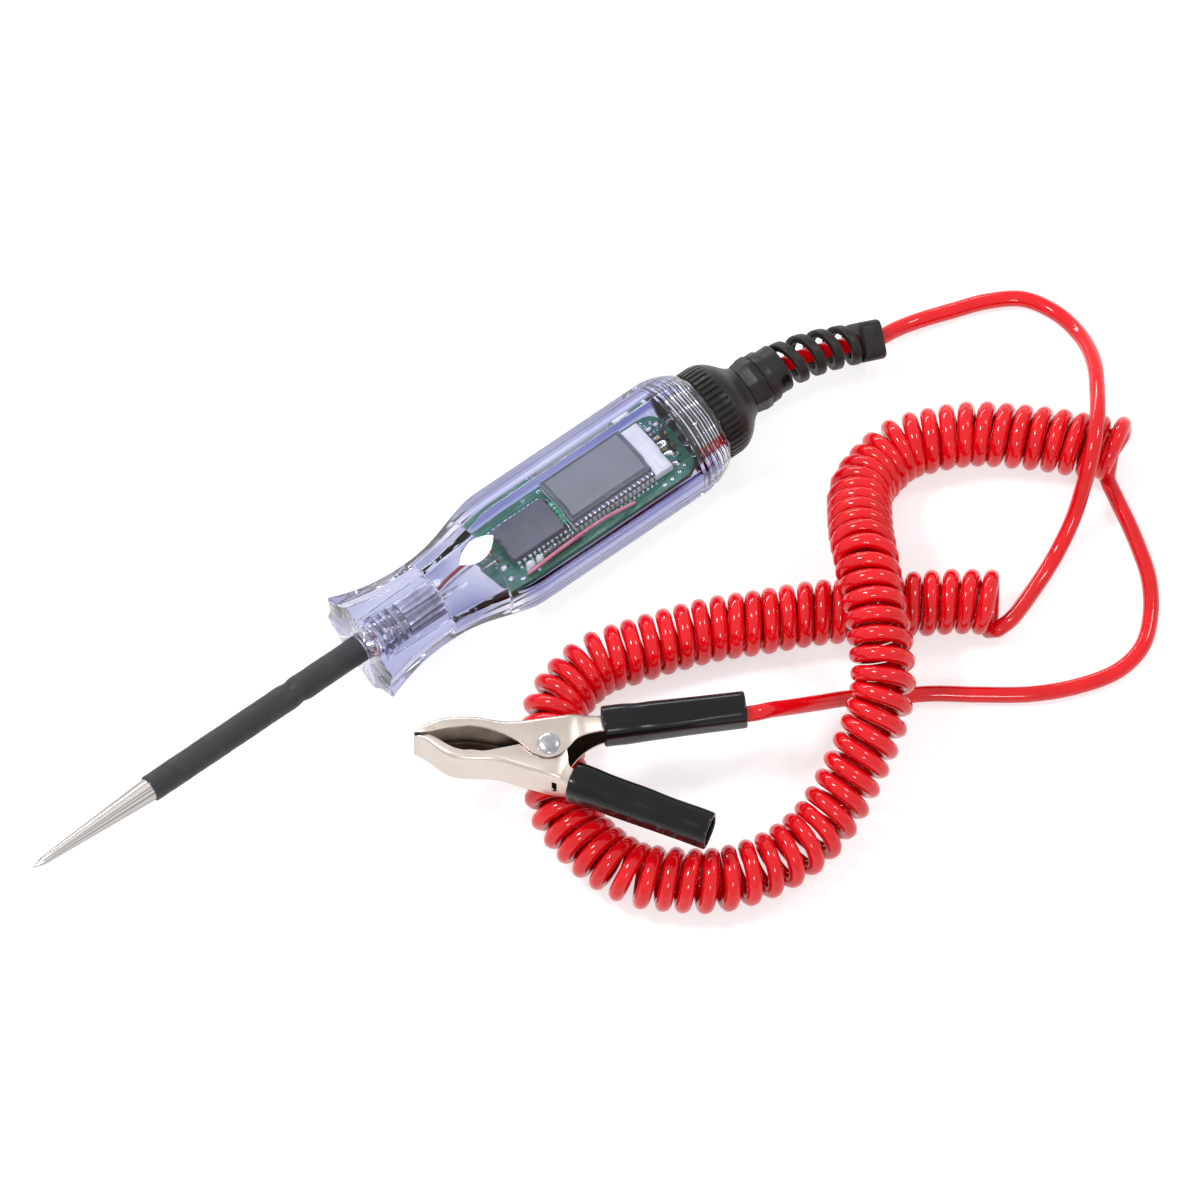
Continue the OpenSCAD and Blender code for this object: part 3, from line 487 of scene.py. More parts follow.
relief_route = [(94.25, 0, 14.3), (111.05, 0, 14.3), (117, -0.5, 13.4), (122, -1.2, 12), (127, -2.2, 10.2),
                (132, -3.4, 8.2), (137.5, -4.8, 6.1)]
handle_route = route(lead_r + 0.05, [
    (143.4, -4.8, 4.2), (149.4, -5.5, 2.6), (157.5, -7.9), (165.7, -10.9), (172.8, -15.5), (176.6, -23.2, 2.4),
    (176.8, -32, 5), (173.7, -41.2, 10.5), (168.2, -49.9, 15.4), (162.8, -56.9, 17.9), (157.3, -62.4, 17.2),
    (152.2, -66, 12.4), (146.4, -69.5, 6.6), (140.2, -72.3, 2.8), (135.2, -74.5), (129.4, -77, 2.6),
    (123.2, -79.7, 4.2), (119.8, -80.9, 5.2), (117, -81.2, 5.6), (115, -80.9, 4.9),
])
curl_route = route(CURL_Z, [
    (120.45, -77.45), (111.6, -70.5), (103.1, -65.1), (92.1, -58.5), (81.7, -52.4), (72.2, -47.8), (62.8, -42.9),
    (53, -39.1), (43.7, -36.1), (35, -33.7), (28.3, -34.3), (20.6, -37.2), (15.4, -43), (10.4, -50.6), (6.6, -58),
    (6, -65), (7, -73.2), (10.4, -82), (16.9, -88.6), (24.4, -94.4), (33.4, -97.8), (42.6, -99), (51.6, -98, 8.2),
    (60.2, -95.1, 10.6), (67.7, -91.6, 13.8), (75.1, -87.7, 17), (81.2, -82.7, 20), (85.8, -76.1, 22.4),
    (89.9, -68.8, 23.7), (93.4, -61.8, 23.7), (97, -55.3, 22.9), (101, -48, 19.2), (105.2, -41.8, 15),
    (109.6, -36.4, 11.4), (116, -33, 8.6), (124.3, -31.6), (132.4, -34.2), (140.6, -38.4), (147.8, -44.4),
    (154.8, -51), (160.9, -57.6), (167.4, -63.4),
])
clip_route = route(lead_r + 0.05, [
    (162.4, -62.2), (160.9, -63.7), (160.2, -65.2), (159.5, -68.2), (158.7, -71.5), (158, -74.7), (155.8, -82.6),
    (152.9, -90.4), (147.8, -97.9), (141.2, -103.4), (133.2, -105), (123.4, -102.7), (113.4, -97.9),
    (103.4, -90.7), (94.4, -83.7), (86.1, -79, 2.6), (78.4, -74.9, 5), (70, -73.3, 10.4), (62.2, -72.6, 16.8),
    (56.6, -72.1, 21.6), (52.7, -71.4, 23.6), (48.35, -69.0, 23.6),
])

# The curl: its turns are a left-handed helix round the smoothed route, each from lowest point to lowest point.
# pitch_table says how far apart they lie at a distance along the route, shift_table how far they are set back.
curl_radius = 5.85
curl_line = smooth_line(curl_route, 0.5)
curl_length = line_length(curl_line)
curl_frames = frames_along(curl_line)
pitch_table = [(0, 4.5), (40, 4.35), (100, 4.15), (150, 4.25), (175, 4.7), (215, 5.05), (245, 4.6), (275, 4.2),
               (315, 4.0), (345, 4.35), (370, 4.5)]
shift_table = [(15, 0), (40, 1.0), (52, 1.5), (65, 2.1), (75, 2.4), (90, 2.3), (110, 1.8), (140, 0.8), (165, 0)]


def curl_points():
    """Points along the turns. The last two lean over, and the tail leaves under the very last one."""
    first, last = 1.6, curl_length - 10.3
    starts = [first]
    while starts[-1] < last - 2.2:
        starts.append(starts[-1] + straight(pitch_table, starts[-1]))
    grow = (last - first) / (starts[-1] - first)
    starts = [first + (s - first) * grow for s in starts]
    starts = [s - straight(shift_table, s) for s in starts]
    turns = [[(0, a), (1, b)] for a, b in zip(starts, starts[1:])]
    turns[0] = [(-0.12, 3.2), (0, 3.0), (0.32, 3.05), (1, starts[1])]
    turns.append([(0, last), (0.18, last + 0.45), (0.68, last + 3.8), (0.85, last + 4.1), (1, last + 3.9)])
    turns.append([(0, last + 3.9), (0.18, last + 4.2), (0.68, last + 8.6), (0.8, last + 8.7), (1, last + 5.7)])
    steps = 18
    out = []
    for n, rows in enumerate(turns):
        for k in range(0 if n else -2, steps):
            u = k / steps
            far = straight(rows, u, ease) if len(rows) > 2 else straight(rows, u)
            p, _, side, up = frame_at(curl_frames, far / curl_length)
            from_last = n + u - (len(turns) - 1)
            lift = 3.6 * exp(-(from_last / 0.13) ** 2)
            turn = radians(270) + 2 * pi * u
            aside = 0 if n else 1.4 * ease((0.12 - u) / 0.23)
            out.append(p + (curl_radius * cos(turn) - aside) * side + (curl_radius * sin(turn) + lift) * up)
    return out


lead_points = smooth_line(relief_route + handle_route, 0.8)[:-1] + curl_points()
tail = smooth_line(lead_points[-2:] + [Vector(p) for p in clip_route], 1.6)
lead_points += tail[2:]
lead_length = line_length(lead_points)

curve = bpy.data.curves.new("lead_cord", "CURVE")
curve.dimensions = "3D"
curve.bevel_depth = 1.0
curve.bevel_resolution = 5
curve.resolution_u = 1
spline = curve.splines.new("POLY")
spline.points.add(len(lead_points) - 1)
for q, p in zip(spline.points, lead_points):
    q.co = (*(p * MM), 1)
    q.radius = lead_r * MM
spline.use_smooth = True
lead_cord = put("lead_cord", curve)
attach(lead_cord, "lead")
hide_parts("lead_tail_handle", "lead_curl", "lead_tail_clip")
curve.materials.append(red)


# ---------------------------------------------------------------- handle

NOSE, REAR = -8.25, 99.0


def half_flats(x):
    """Half the width across the flats at distance x behind the nose."""
    if x <= 18:
        return (19.4 + 6.4 * (1 - x / 18) ** 2) / 2
    if x <= 43:
        return (19.4 + 9.2 * ease(((x - 18) / 25) ** 1.3)) / 2
    return (28.6 - 5.8 * (max(x - 90, 0) / 9) ** 2) / 2


def facet_ring(x, inset=0.0):
    """Outline across the handle: eight flats, hollowed near the nose, with rounded edges between them."""
    h = half_flats(x) - inset
    r = 1.0 + 0.6 * ease((x - 16) / 24) + 0.5 * ease((x - 86) / 13)
    flat = (h - r) * tan(pi / 8)
    flute = 0.9 * (1 - min(x / 16, 1)) ** 2
    shares = (-1, -0.72, -0.4, -0.13, 0.13, 0.4, 0.72, 1)
    side = [(h - flute * (1 - share ** 2) ** 2, share * flat) for share in shares]
    side += [(h - r + r * cos(radians(w)), flat + r * sin(radians(w))) for w in (11.25, 22.5, 33.75)]
    crown = 0.4 * ease((x - 14) / 30)
    out = []
    for turn in circle(8):
        for a, b in side:
            scale = 1 + crown * (h / hypot(a, b) - 1)
            a, b = a * scale, b * scale
            out.append((NOSE + x, -(a * cos(turn) - b * sin(turn)), AXIS_Z + a * sin(turn) + b * cos(turn)))
    return out


def bore_ring(x, r, thread=0.0, flat=0.0):
    """Outline of the bore: round, or with eight flats like the outside where flat is 1."""
    edge, pitch = 1.1, 1.5
    corner = Vector((r - edge, (r - edge) * tan(pi / 8)))
    out = []
    for _, y, z in facet_ring(x):
        turn = atan2(z - AXIS_Z, y)
        off = abs((degrees(turn) + 22.5) % 45 - 22.5)
        u = Vector((cos(radians(off)), sin(radians(off))))
        faceted = r / u.x
        if faceted * u.y > corner.y:
            faceted = corner.dot(u) + sqrt(edge ** 2 - corner.dot(corner) + corner.dot(u) ** 2)
        deep = r + (faceted - r) * flat
        deep += thread * 0.5 * (1 - cos(2 * pi * x / pitch - turn)) ** 1.4 / 2 ** 0.4
        out.append((NOSE + x, deep * cos(turn), AXIS_Z + deep * sin(turn)))
    return out


def handle_glass():
    """The clear handle as one shell: its outside, its rear thread, its bore and the neck round the needle."""
    outside = [(0, 0.4), (0.12, 0.12), (0.4, 0)]
    outside += [(x, 0) for x in after(0.4, 18, 16) + after(18, 43, 18) + after(43, 90, 6) + after(90, 98.6, 9)]
    rings = [facet_ring(x, inset) for x, inset in outside + [(98.85, 0.12), (REAR, 0.45)]]
    rings += [bore_ring(REAR, 10.85), bore_ring(98.8, 10.6)]
    for x in [98.6] + after(98.6, 90.3, 66):
        rings.append(bore_ring(x, 10.2, 0.5 * ease((x - 90.3) / 0.8) * ease((98.6 - x) / 0.5)))
    inside = [(90, 10.15, 0), (89.9, 9.95, 0.1), (89.7, 9.85, 0.1)]
    inside += [(x, 9.85, 0.1) for x in after(89.7, 36.4, 8)]
    inside += [(36.1, 9.75, 0.1), (36, 9.55, 0.1), (36, 9.2, 0.5), (35.85, 9.0, 0.5), (35.5, 8.95, 0.5),
               (28, 7.95, 0.8), (21.5, 7.1, 0.6), (21.15, 7.0, 0.5), (21, 6.8, 0.3)]
    front = ((21, 5.2), (20.85, 5.02), (20.5, 5), (11, 5), (2.3, 5), (2.05, 4.9), (2, 4.7), (2, 3.2), (1.9, 3),
             (1.6, 2.96), (0.4, 2.96), (0.1, 3.05), (0, 3.3))
    inside += [(x, r, 0) for x, r in front]
    first = len(rings)
    rings += [bore_ring(x, r, 0, flat) for x, r, flat in inside]
    shell = Shape().rings(rings, loop=True)
    for row, (x, *_) in enumerate(inside, first):
        for k, (_, y, z) in enumerate(rings[row]):
            if 36 <= x <= 89.9 and -82 <= degrees(atan2(y, z - AXIS_Z)) <= 38:
                shell.marks[row * len(rings[0]) + k] = 1
    shell.make("handle_glass", "tester", [glass, bore_clear], "clear_plastic", "handle_shell", sharp=28)


def needle():
    """Tapered shaft with four ribs and a fluted insert in the handle's neck."""
    s = Shape()
    profile = [(-102.25, 0.03), (-102.1, 0.16), (-101.4, 0.42), (-99.6, 0.93), (-99.2, 1.02)]
    profile += zip(after(-99.2, -68.6, 8), after(1.02, 2.85, 8))
    profile += [(-68.2, 2.88), (-67.6, 2.9), (12.5, 2.9), (12.75, 2.7)]
    s.lathe(profile, 48, AXIS)
    rib = ((0, 2.85), (0, 4.75), (0.15, 4.93), (1.0, 4.93), (1.15, 4.75), (1.15, 2.85))
    for i in range(4):
        s.lathe([(-6.2 + 2.1 * i + x, r) for x, r in rib], 64, AXIS, 1)
    rings = []
    for x, r, deep in ((2.75, 4.4, 0), (2.85, 4.75, 0.3), (3.1, 4.93, 0.5), (12.3, 4.93, 0.5), (12.6, 4.75, 0.3),
                       (12.75, 4.4, 0)):
        cut = [(w, r - deep * (0.5 - 0.5 * cos(20 * w)) ** 0.7) for w in circle(120)]
        rings.append([(x, far * cos(w), far * sin(w)) for w, far in cut])
    s.rings(rings, AXIS, 1)
    s.make("needle", "tester", [needle_steel, insert_metal], "needle_steel", "probe_needle", sharp=38)


def shrink_sleeve():
    """Shrunk sleeve on the needle, cut square in front, with a pinch and a slanting crease near the handle."""
    front, rear, count = -68.75, -8.3, 48
    rings = []
    places = [front + 0.12 * k for k in range(5)] + [-68 + 1.4 * k for k in range(27)]
    places += [-30 + 0.45 * k for k in range(22)] + [-20 + 1.3 * k for k in range(9)] + [rear]
    for x in places:
        rings.append([])
        for w in circle(count):
            shift = x + 1.3 * cos(w - 1.2)
            r = 3.3 - 0.3 * exp(-((shift + 27.4) / 1.0) ** 2) + 0.13 * exp(-((shift + 24.9) / 1.2) ** 2)
            r += 0.025 * sin(0.6 * x + 2 * w) + 0.02 * sin(1.7 * x - 3 * w)
            r -= 0.09 * exp(-((x - front) / 0.16) ** 2)
            rings[-1].append((x, r * cos(w), AXIS_Z + r * sin(w)))
    rings += [hoop(x, 2.94, count, AXIS_Z) for x in (rear, -30, front)]
    s = Shape().rings(rings, loop=True)
    s.make("shrink_sleeve", "tester", shrink, "shrink_sleeve", "probe_sleeve", sharp=40)


def neck_wires():
    """The pair of thin wires from the needle's insert to the front of the board."""
    first = [(12.75, 0.3, 14.5), (14.5, 0.5, 14.6), (17.5, 1.2, 15.2), (23.5, 1.7, 16.2), (27.8, 1.7, 16.4),
             (29.4, 1.5, 16), (31.2, 0.6, 13.9)]
    second = [(12.75, -0.6, 14.1), (14.5, -0.6, 14.1), (18, 0.1, 14.5), (23.5, 0.5, 15.4), (28, 0.3, 15.7),
              (30, -0.8, 14.6), (31, -1.4, 13.3)]
    s = Shape().tube(smooth_line(first, 0.5), 0.48, 14).tube(smooth_line(second, 0.5), 0.3, mark=1)
    s.make("neck_wires", "tester", [wire_red, silver], "red_cord", "probe_wire", sharp=60)


handle_glass()
needle()
shrink_sleeve()
neck_wires()


# ---------------------------------------------------------------- board, in its own frame

TOP = -1.4


def turned(x, y, turn, u, v, z):
    """Point (u, v) of a pattern that is turned and set down at (x, y)."""
    return (x + u * cos(turn) - v * sin(turn), y + u * sin(turn) + v * cos(turn), z)


def blob(s, x, y, size, height=0.6, lean=0.0, mark=0, turn=0.0):
    """Solder joint: a soft mound with a wide foot, drawn out into a leaf by lean."""
    rings = []
    for share, high in ((1.0, -0.03), (0.93, 0.12), (0.75, 0.42), (0.5, 0.75), (0.25, 0.95), (0.06, 1.0)):
        rings.append([])
        for w in circle(20):
            ahead = max(cos(w), 0)
            u = share * size * (cos(w) + lean * ahead ** 3)
            v = share * size * 0.8 * sin(w) * (1 - 0.35 * lean * ahead)
            rings[-1].append(turned(x, y, turn, u, v, TOP + height * high))
    return s.rings(rings, BOARD, mark)


def controller():
    """Chip with drafted sides, a dimple at one end and gull-wing pins on both long sides."""
    x, y, length, width = 5.5, 1.0, 14.0, 8.0
    cut = 0.25
    rings = []
    for h, inset in ((0.15, 0.25), (0.2, 0.16), (0.95, 0.0), (1.1, 0.0), (1.9, 0.2), (2.0, 0.32)):
        a, b, c, d = x + inset, x + length - inset, y - width / 2 + inset, y + width / 2 - inset
        dimple = h > 1.2
        ring = [(a + cut, c), (b - cut, c), (b, c + cut), (b, d - cut), (b - cut, d), (a + cut, d), (a, d - cut)]
        ring += [(a, y + 0.9), (a + 0.5 * dimple, y + 0.55), (a + 0.65 * dimple, y), (a + 0.5 * dimple, y - 0.55)]
        rings.append([(*p, TOP + h) for p in ring + [(a, y - 0.9), (a, c + cut)]])
    s = Shape().rings(rings, BOARD)
    s.make("controller", "tester", chip_black, "black_plastic", "controller_chip", sharp=25)
    pins = Shape()
    thick = 0.09
    line = ((-0.25, 1.05), (0.3, 1.05), (0.5, 0.95), (0.62, 0.7), (0.7, 0.3), (0.8, 0.12), (1.25, 0.1))
    for i in range(11):
        cx = x + 0.8 + 12.4 / 10 * i
        for side in (-1, 1):
            edge = y + side * width / 2
            rings = []
            for j, (off, h) in enumerate(line):
                w = 0.36 if j < 4 else 0.25
                out, up = (thick, 0) if 2 <= j <= 4 else (0, thick)
                near, far = (edge + side * (off - out), TOP + h - up), (edge + side * (off + out), TOP + h + up)
                rings.append([(cx - w, *near), (cx + w, *near), (cx + w, *far), (cx - w, *far)])
            pins.rings(rings, BOARD)
            blob(pins, cx, edge + side * 1.25, 0.42, 0.2)
    pins.make("controller_pins", "tester", silver, "tinned_metal", "chip_pins")


def display():
    """Liquid-crystal display: two panes with a contact ledge, a film with a dark border, and its white slab."""
    s = Shape().block((21, -5.3, TOP), (27.8, 13, 1.6), BOARD, bevel=0.2)
    s.block((46.2, -4.6, TOP + 1.6), (2.2, 11.6, 0.12), BOARD, bevel=0.05)
    s.make("backlight", "tester", white, "white_plastic", "backlight_slab", sharp=40)
    s = Shape().block((21, -5.3, 0.2), (23, 13, 0.78), BOARD, bevel=0.07)
    s.block((21, -3.9, 1.0), (23, 11.6, 0.8), BOARD, bevel=0.07)
    s.make("display_panes", "tester", pane, "display_glass", "lcd_glass", sharp=40)
    s = Shape().block((21.55, -3.5, 1.8), (21.9, 10.8, 0.14), BOARD, 1, 0.04)
    s.block((22.1, -2.95, 1.9), (20.8, 9.7, 0.16), BOARD, bevel=0.04)
    s.make("display_face", "tester", [face, edge_dark], "display_film", "lcd_film", sharp=40)
    s = Shape()
    for x in [21.7] + after(21.7, 43.3, 17):
        s.block((x - 0.22, -5.75, TOP + 0.2), (0.44, 0.22, 2.5), BOARD, bevel=0.06)
        s.block((x - 0.22, -5.75, 1.1), (0.44, 1.2, 0.2), BOARD, bevel=0.06)
        s.block((x - 0.3, -4.6, 1.0), (0.6, 0.5, 0.16), BOARD, bevel=0.05)
        s.block((x - 0.2, -6.4, TOP), (0.4, 0.85, 0.22), BOARD, bevel=0.05)
        blob(s, x, -6.1, 0.5, 0.62)
    s.make("display_pins", "tester", silver, "tinned_metal", "lcd_pins")


def resistor():
    """Axial resistor across the board, with swollen ends, colour bands and bent leads."""
    cx, y0 = 20.25, 1.0
    at = moved(BOARD, (cx, y0, TOP + 0.78), 90, "Z")
    half = [(0.3, 0.6), (0.75, 0.62), (0.95, 0.73), (1.3, 0.76), (1.6, 0.7), (1.78, 0.52), (1.85, 0.3)]
    s = Shape().lathe([(-x, r) for x, r in reversed(half)] + half, 28, at)
    for x, mark in ((-1.2, 1), (-0.5, 2), (0.05, 1), (0.6, 2)):
        r = 0.785 if abs(x) > 0.9 else 0.635
        s.lathe([(x, r - 0.08), (x, r), (x + 0.26, r), (x + 0.26, r - 0.08)], 28, at, mark)
    for d in (-1, 1):
        line = [(d * x, 0, z) for x, z in ((1.7, 0), (2.6, 0), (3.1, -0.05), (3.45, -0.25), (3.6, -0.7))]
        s.tube(line, 0.24, 12, at, 3)
        blob(s, cx, y0 + d * 3.6, 0.55, 0.4, mark=3)
    s.make("resistor", "tester", [lacquer, edge_dark, white, silver], "green_lacquer", "board_resistor")


def leds():
    """Two domed lamps beside the chip."""
    s = Shape()
    r = 0.96
    profile = [(0, 1.0), (0.12, 1.06), (0.45, 1.06), (0.5, 0.98), (1.35, r)]
    profile += [(1.35 + sin(radians(w)), r * cos(radians(w))) for w in (15, 30, 45, 60, 73, 83)]
    for i in range(2):
        s.lathe(profile, 32, moved(BOARD, (11 - 2.4 * (i + 0.5), -6.45, TOP), -90, "Y"))
    s.make("status_leds", "tester", lens, "white_plastic", "indicator_leds", sharp=35)


def header():
    """Row of ten pins in a black block along the board's near edge."""
    body, pins = Shape(), Shape()
    y = -6.6
    for x in range(11, 21):
        body.block((x + 0.04, y - 0.9, TOP), (0.92, 1.8, 1.25), BOARD, bevel=0.2)
        body.block((x + 0.2, y - 1.1, TOP), (0.6, 0.4, 0.9), BOARD, bevel=0.1)
        pins.rings([[(x + 0.5 + u * w, y + v * w, TOP + h) for u, v in ((-1, -1), (1, -1), (1, 1), (-1, 1))]
                    for h, w in ((1.2, 0.22), (2.3, 0.22), (2.5, 0.1))], BOARD)
        blob(pins, x + 0.5, y + 1.35, 0.36, 0.35)
    body.make("header_body", "tester", header_black, "black_plastic", "header_block", sharp=40)
    pins.make("header_pin_row", "tester", silver, "tinned_metal", "header_pins")


def small_parts():
    """Chip capacitors and resistors with tinned ends, behind the display."""
    s = Shape()
    long, wide, end = 1.5, 0.85, 0.34
    for i in range(2):
        for j in range(3):
            x, y = 49.3 + 2 * i, 1.2 + 1.6 * j
            high = 0.55 + 0.1 * ((i + j) % 2)
            s.block((x + 0.3, y, TOP + 0.05), (long - 0.6, wide, high), BOARD, (i * 3 + j) % 3, 0.07)
            for off in (0, long - end):
                s.block((x + off, y - 0.03, TOP), (end, wide + 0.06, high + 0.08), BOARD, 3, 0.08)
    s.make("small_parts", "tester", [ceramic, chip_black, white, silver], "tan_ceramic", "surface_parts")


def joints_and_marks():
    """Loose solder joints, ring-shaped pads and printed outlines on the board."""
    s = Shape()
    blob(s, 3.4, -1.2, 1.1, 0.7, 0.5)
    blob(s, 2.04, 5.2, 0.9, 0.6, 0.2)
    blob(s, 2.6, -5.6, 0.9, 0.6, 0.3)
    blob(s, 51.0, 0.0, 1.35, 0.65, 1.1, turn=2.9)
    blob(s, 50.3, -4.0, 1.05, 0.6, 1.0, turn=2.7)
    s.make("solder_spots", "tester", silver, "tinned_metal", "solder_joints")
    pads = Shape()
    pad = [(0, 0.22), (0, 0.5), (0.05, 0.52), (0.08, 0.47), (0.08, 0.24), (0.03, 0.22)]
    for x, y in ((1.2, 7.2), (3.2, 7.8), (49.6, 7.6), (51.6, 6.4), (49.4, -6.9), (51.4, -5.9), (46.9, -7.6),
                 (44.5, -7.9), (8.5, -8.0), (4.6, -7.6), (20.3, 7.9), (16, 8.1)):
        pads.lathe(pad, 20, moved(BOARD, (x, y, TOP - 0.02), -90, "Y"), loop=True)
    pads.make("board_pads", "tester", silver, "tinned_metal")
    ink = Shape()
    line = 0.12
    for x, y, a, b in ((48.9, 5.9, 1.3, 0.9), (51.9, 3.6, 1.2, 0.9), (50.6, -1.9, 1.4, 1.0), (1.0, 0.9, 1.5, 1.0),
                       (3.2, 3.4, 1.3, 1.0)):
        rings = []
        for u, v in ((0, 0), (1, 0), (1, 1), (0, 1)):
            outer = (x + u * a, y + v * b)
            inner = (x + line + u * (a - 2 * line), y + line + v * (b - 2 * line))
            section = ((outer, -0.02), (inner, -0.02), (inner, 0.02), (outer, 0.02))
            rings.append([(*p, TOP + h) for p, h in section])
        ink.rings(rings, BOARD, loop=True)
    ink.make("board_outlines", "tester", marks, "white_plastic")


def wires():
    """The pink bridge wire along the near edge, the dark wire to the lead, and the loops at the board's rear."""
    y, z = -8.09, TOP + 0.55
    line = [(6, y + 0.38, z), (10, y, z + 0.8), (18, y - 0.1, z + 1.45), (28, y, z + 1.45), (36, y + 0.33, z)]
    s = Shape().tube(smooth_line(line, 0.6), 0.42, 14, BOARD)
    s.make("pink_wire", "tester", pink, "red_cord", "bridge_wire", sharp=60)
    line = [(78.98, 0.6, 13.5), (80.2, 1.4, 16.1), (83.4, 1.8, 17.1), (88.6, 0.6, 15.3), (92.3, 0.05, 14.4),
            (92.7, 0, 14.3)]
    s = Shape().tube(smooth_line(line, 0.6), 0.5, 14)
    s.make("rear_wire", "tester", dark_wire, "dark_wire", "lead_wire", sharp=60)
    tags = Shape()
    for x, y, size, turn in ((54.9, 4.3, 1.15, 0.5), (55.3, -0.4, 1.25, 0.1), (54.9, -5.0, 1.1, -0.4)):
        ring = []
        for w in circle(28):
            u = size * 1.15 * cos(w) * (1 + 0.18 * cos(w))
            ring.append(Vector(turned(x, y, turn, u, size * 0.85 * sin(w), TOP + 0.25)))
        centre = sum(ring, Vector()) / len(ring)
        sections = []
        for p in ring:
            out, up = (p - centre).normalized() * 0.17, Vector((0, 0, 0.17))
            sections.append([p + out, p + up, p - out, p - up])
        tags.rings(sections, BOARD, loop=True)
        tags.rings([[centre + (p - centre) * share + Vector((0, 0, h)) for p in ring]
                    for share, h in ((0.9, -0.08), (0.95, 0), (0.9, 0.08))], BOARD, 1)
    tags.make("rear_tags", "tester", [silver, edge_dark], "tinned_metal")


controller()
display()
resistor()
leds()
header()
small_parts()
joints_and_marks()
wires()
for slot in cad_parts["circuit_board"].material_slots:
    slot.material = green


# ---------------------------------------------------------------- cap

def grooved_ring(x, r, deep):
    """Ring across the cap with flat-topped ribs between narrow grooves."""
    ribs = 44
    out = []
    for k in range(ribs):
        for share, far in ((0.0, r - deep), (0.16, r - deep), (0.3, r), (0.62, r), (0.84, r)):
            w = 2 * pi * (k + share) / ribs
            out.append((x, far * cos(w), AXIS_Z + far * sin(w)))
    return out


def cap():
    """Ribbed cap with a smooth dome, its skirt and the bores inside it."""
    rows = [(90.85, 11.2, 0.2), (90.95, 11.45, 0.35), (91.2, 11.6, 0.5), (93.6, 11.6, 0.5), (94.5, 11.6, 0.5)]
    dome = ((0, 11.5), (0.5, 11.42), (1, 11.28), (1.6, 11.05), (2.2, 10.76), (2.9, 10.3), (3.6, 9.75), (4.2, 9.2),
            (4.8, 8.55), (5.4, 7.9), (6.0, 7.3), (6.6, 6.8), (7.2, 6.45), (7.42, 6.35), (7.5, 6.15))
    rows += [(94.75 + s, r, 0.5 * (1 - ease(s / 1.5))) for s, r in dome]
    inside = ((102.25, 4.3), (102.15, 4.12), (99.25, 4.1), (99.2, 6.0), (94.9, 8.5), (94.6, 8.6), (82.4, 8.6),
              (82.25, 8.7), (82.25, 9.95), (82.4, 10.1), (90.6, 10.1), (90.85, 10.2))
    rows += [(x, r, 0) for x, r in inside]
    shell = Shape().rings([grooved_ring(*row) for row in rows], loop=True)
    shell.make("cap_shell", "cap", black, "black_plastic", "end_cap", sharp=30)


def facet_prism(stations, sides, turn, place):
    """Rings of a faceted solid along a place's own axis from (distance, apothem, edge radius) rows."""
    rings = []
    for d, h, r in stations:
        flat = (h - r) * tan(pi / sides)
        side = [(h, flat * share) for share in (-1, -0.33, 0.33, 1)]
        side += [(h - r + r * cos(v), flat + r * sin(v)) for v in (pi * 2 / sides / 3, pi * 4 / sides / 3)]
        rings.append([place(d, a * cos(w + turn) - b * sin(w + turn), a * sin(w + turn) + b * cos(w + turn))
                      for w in circle(sides) for a, b in side])
    return rings


def ribbon():
    """Rings of the ribbon that winds along the lead behind the cap, right-handed and narrowing."""
    line = smooth_line(relief_route[1:], 0.25)
    total = line_length(line)
    frames = frames_along(line)
    turns = 4.5
    count = int(turns * 30)
    start, stop = 0.6, total - 4.6
    half_wide, edge = 1.25, 0.5
    rings = []
    for k in range(count + 1):
        u = k / count
        t = 2 * pi * turns * u
        skew = 0.07 * sin(t + radians(69.5)) if 0 < k < count else 0
        d = start + (stop - start) * min(max(u + skew / turns, 0), 1)
        p, ahead, side, up = frame_at(frames, d / total)
        out = cos(t) * side - sin(t) * up
        r_out = (11.6 - 2.0 * u) / 2
        r_in = r_out - 1.9 + 0.2 * u
        mid, half_high = (r_out + r_in) / 2, (r_out - r_in) / 2
        rings.append([p + out * (mid + sx * (half_high - edge) + edge * cos(w))
                      + ahead * (sy * (half_wide - edge) + edge * sin(w))
                      for sx, sy, base in CORNERS for w in (radians(base + step) for step in (0, 30, 60, 90))])
    return rings, frames[-1]


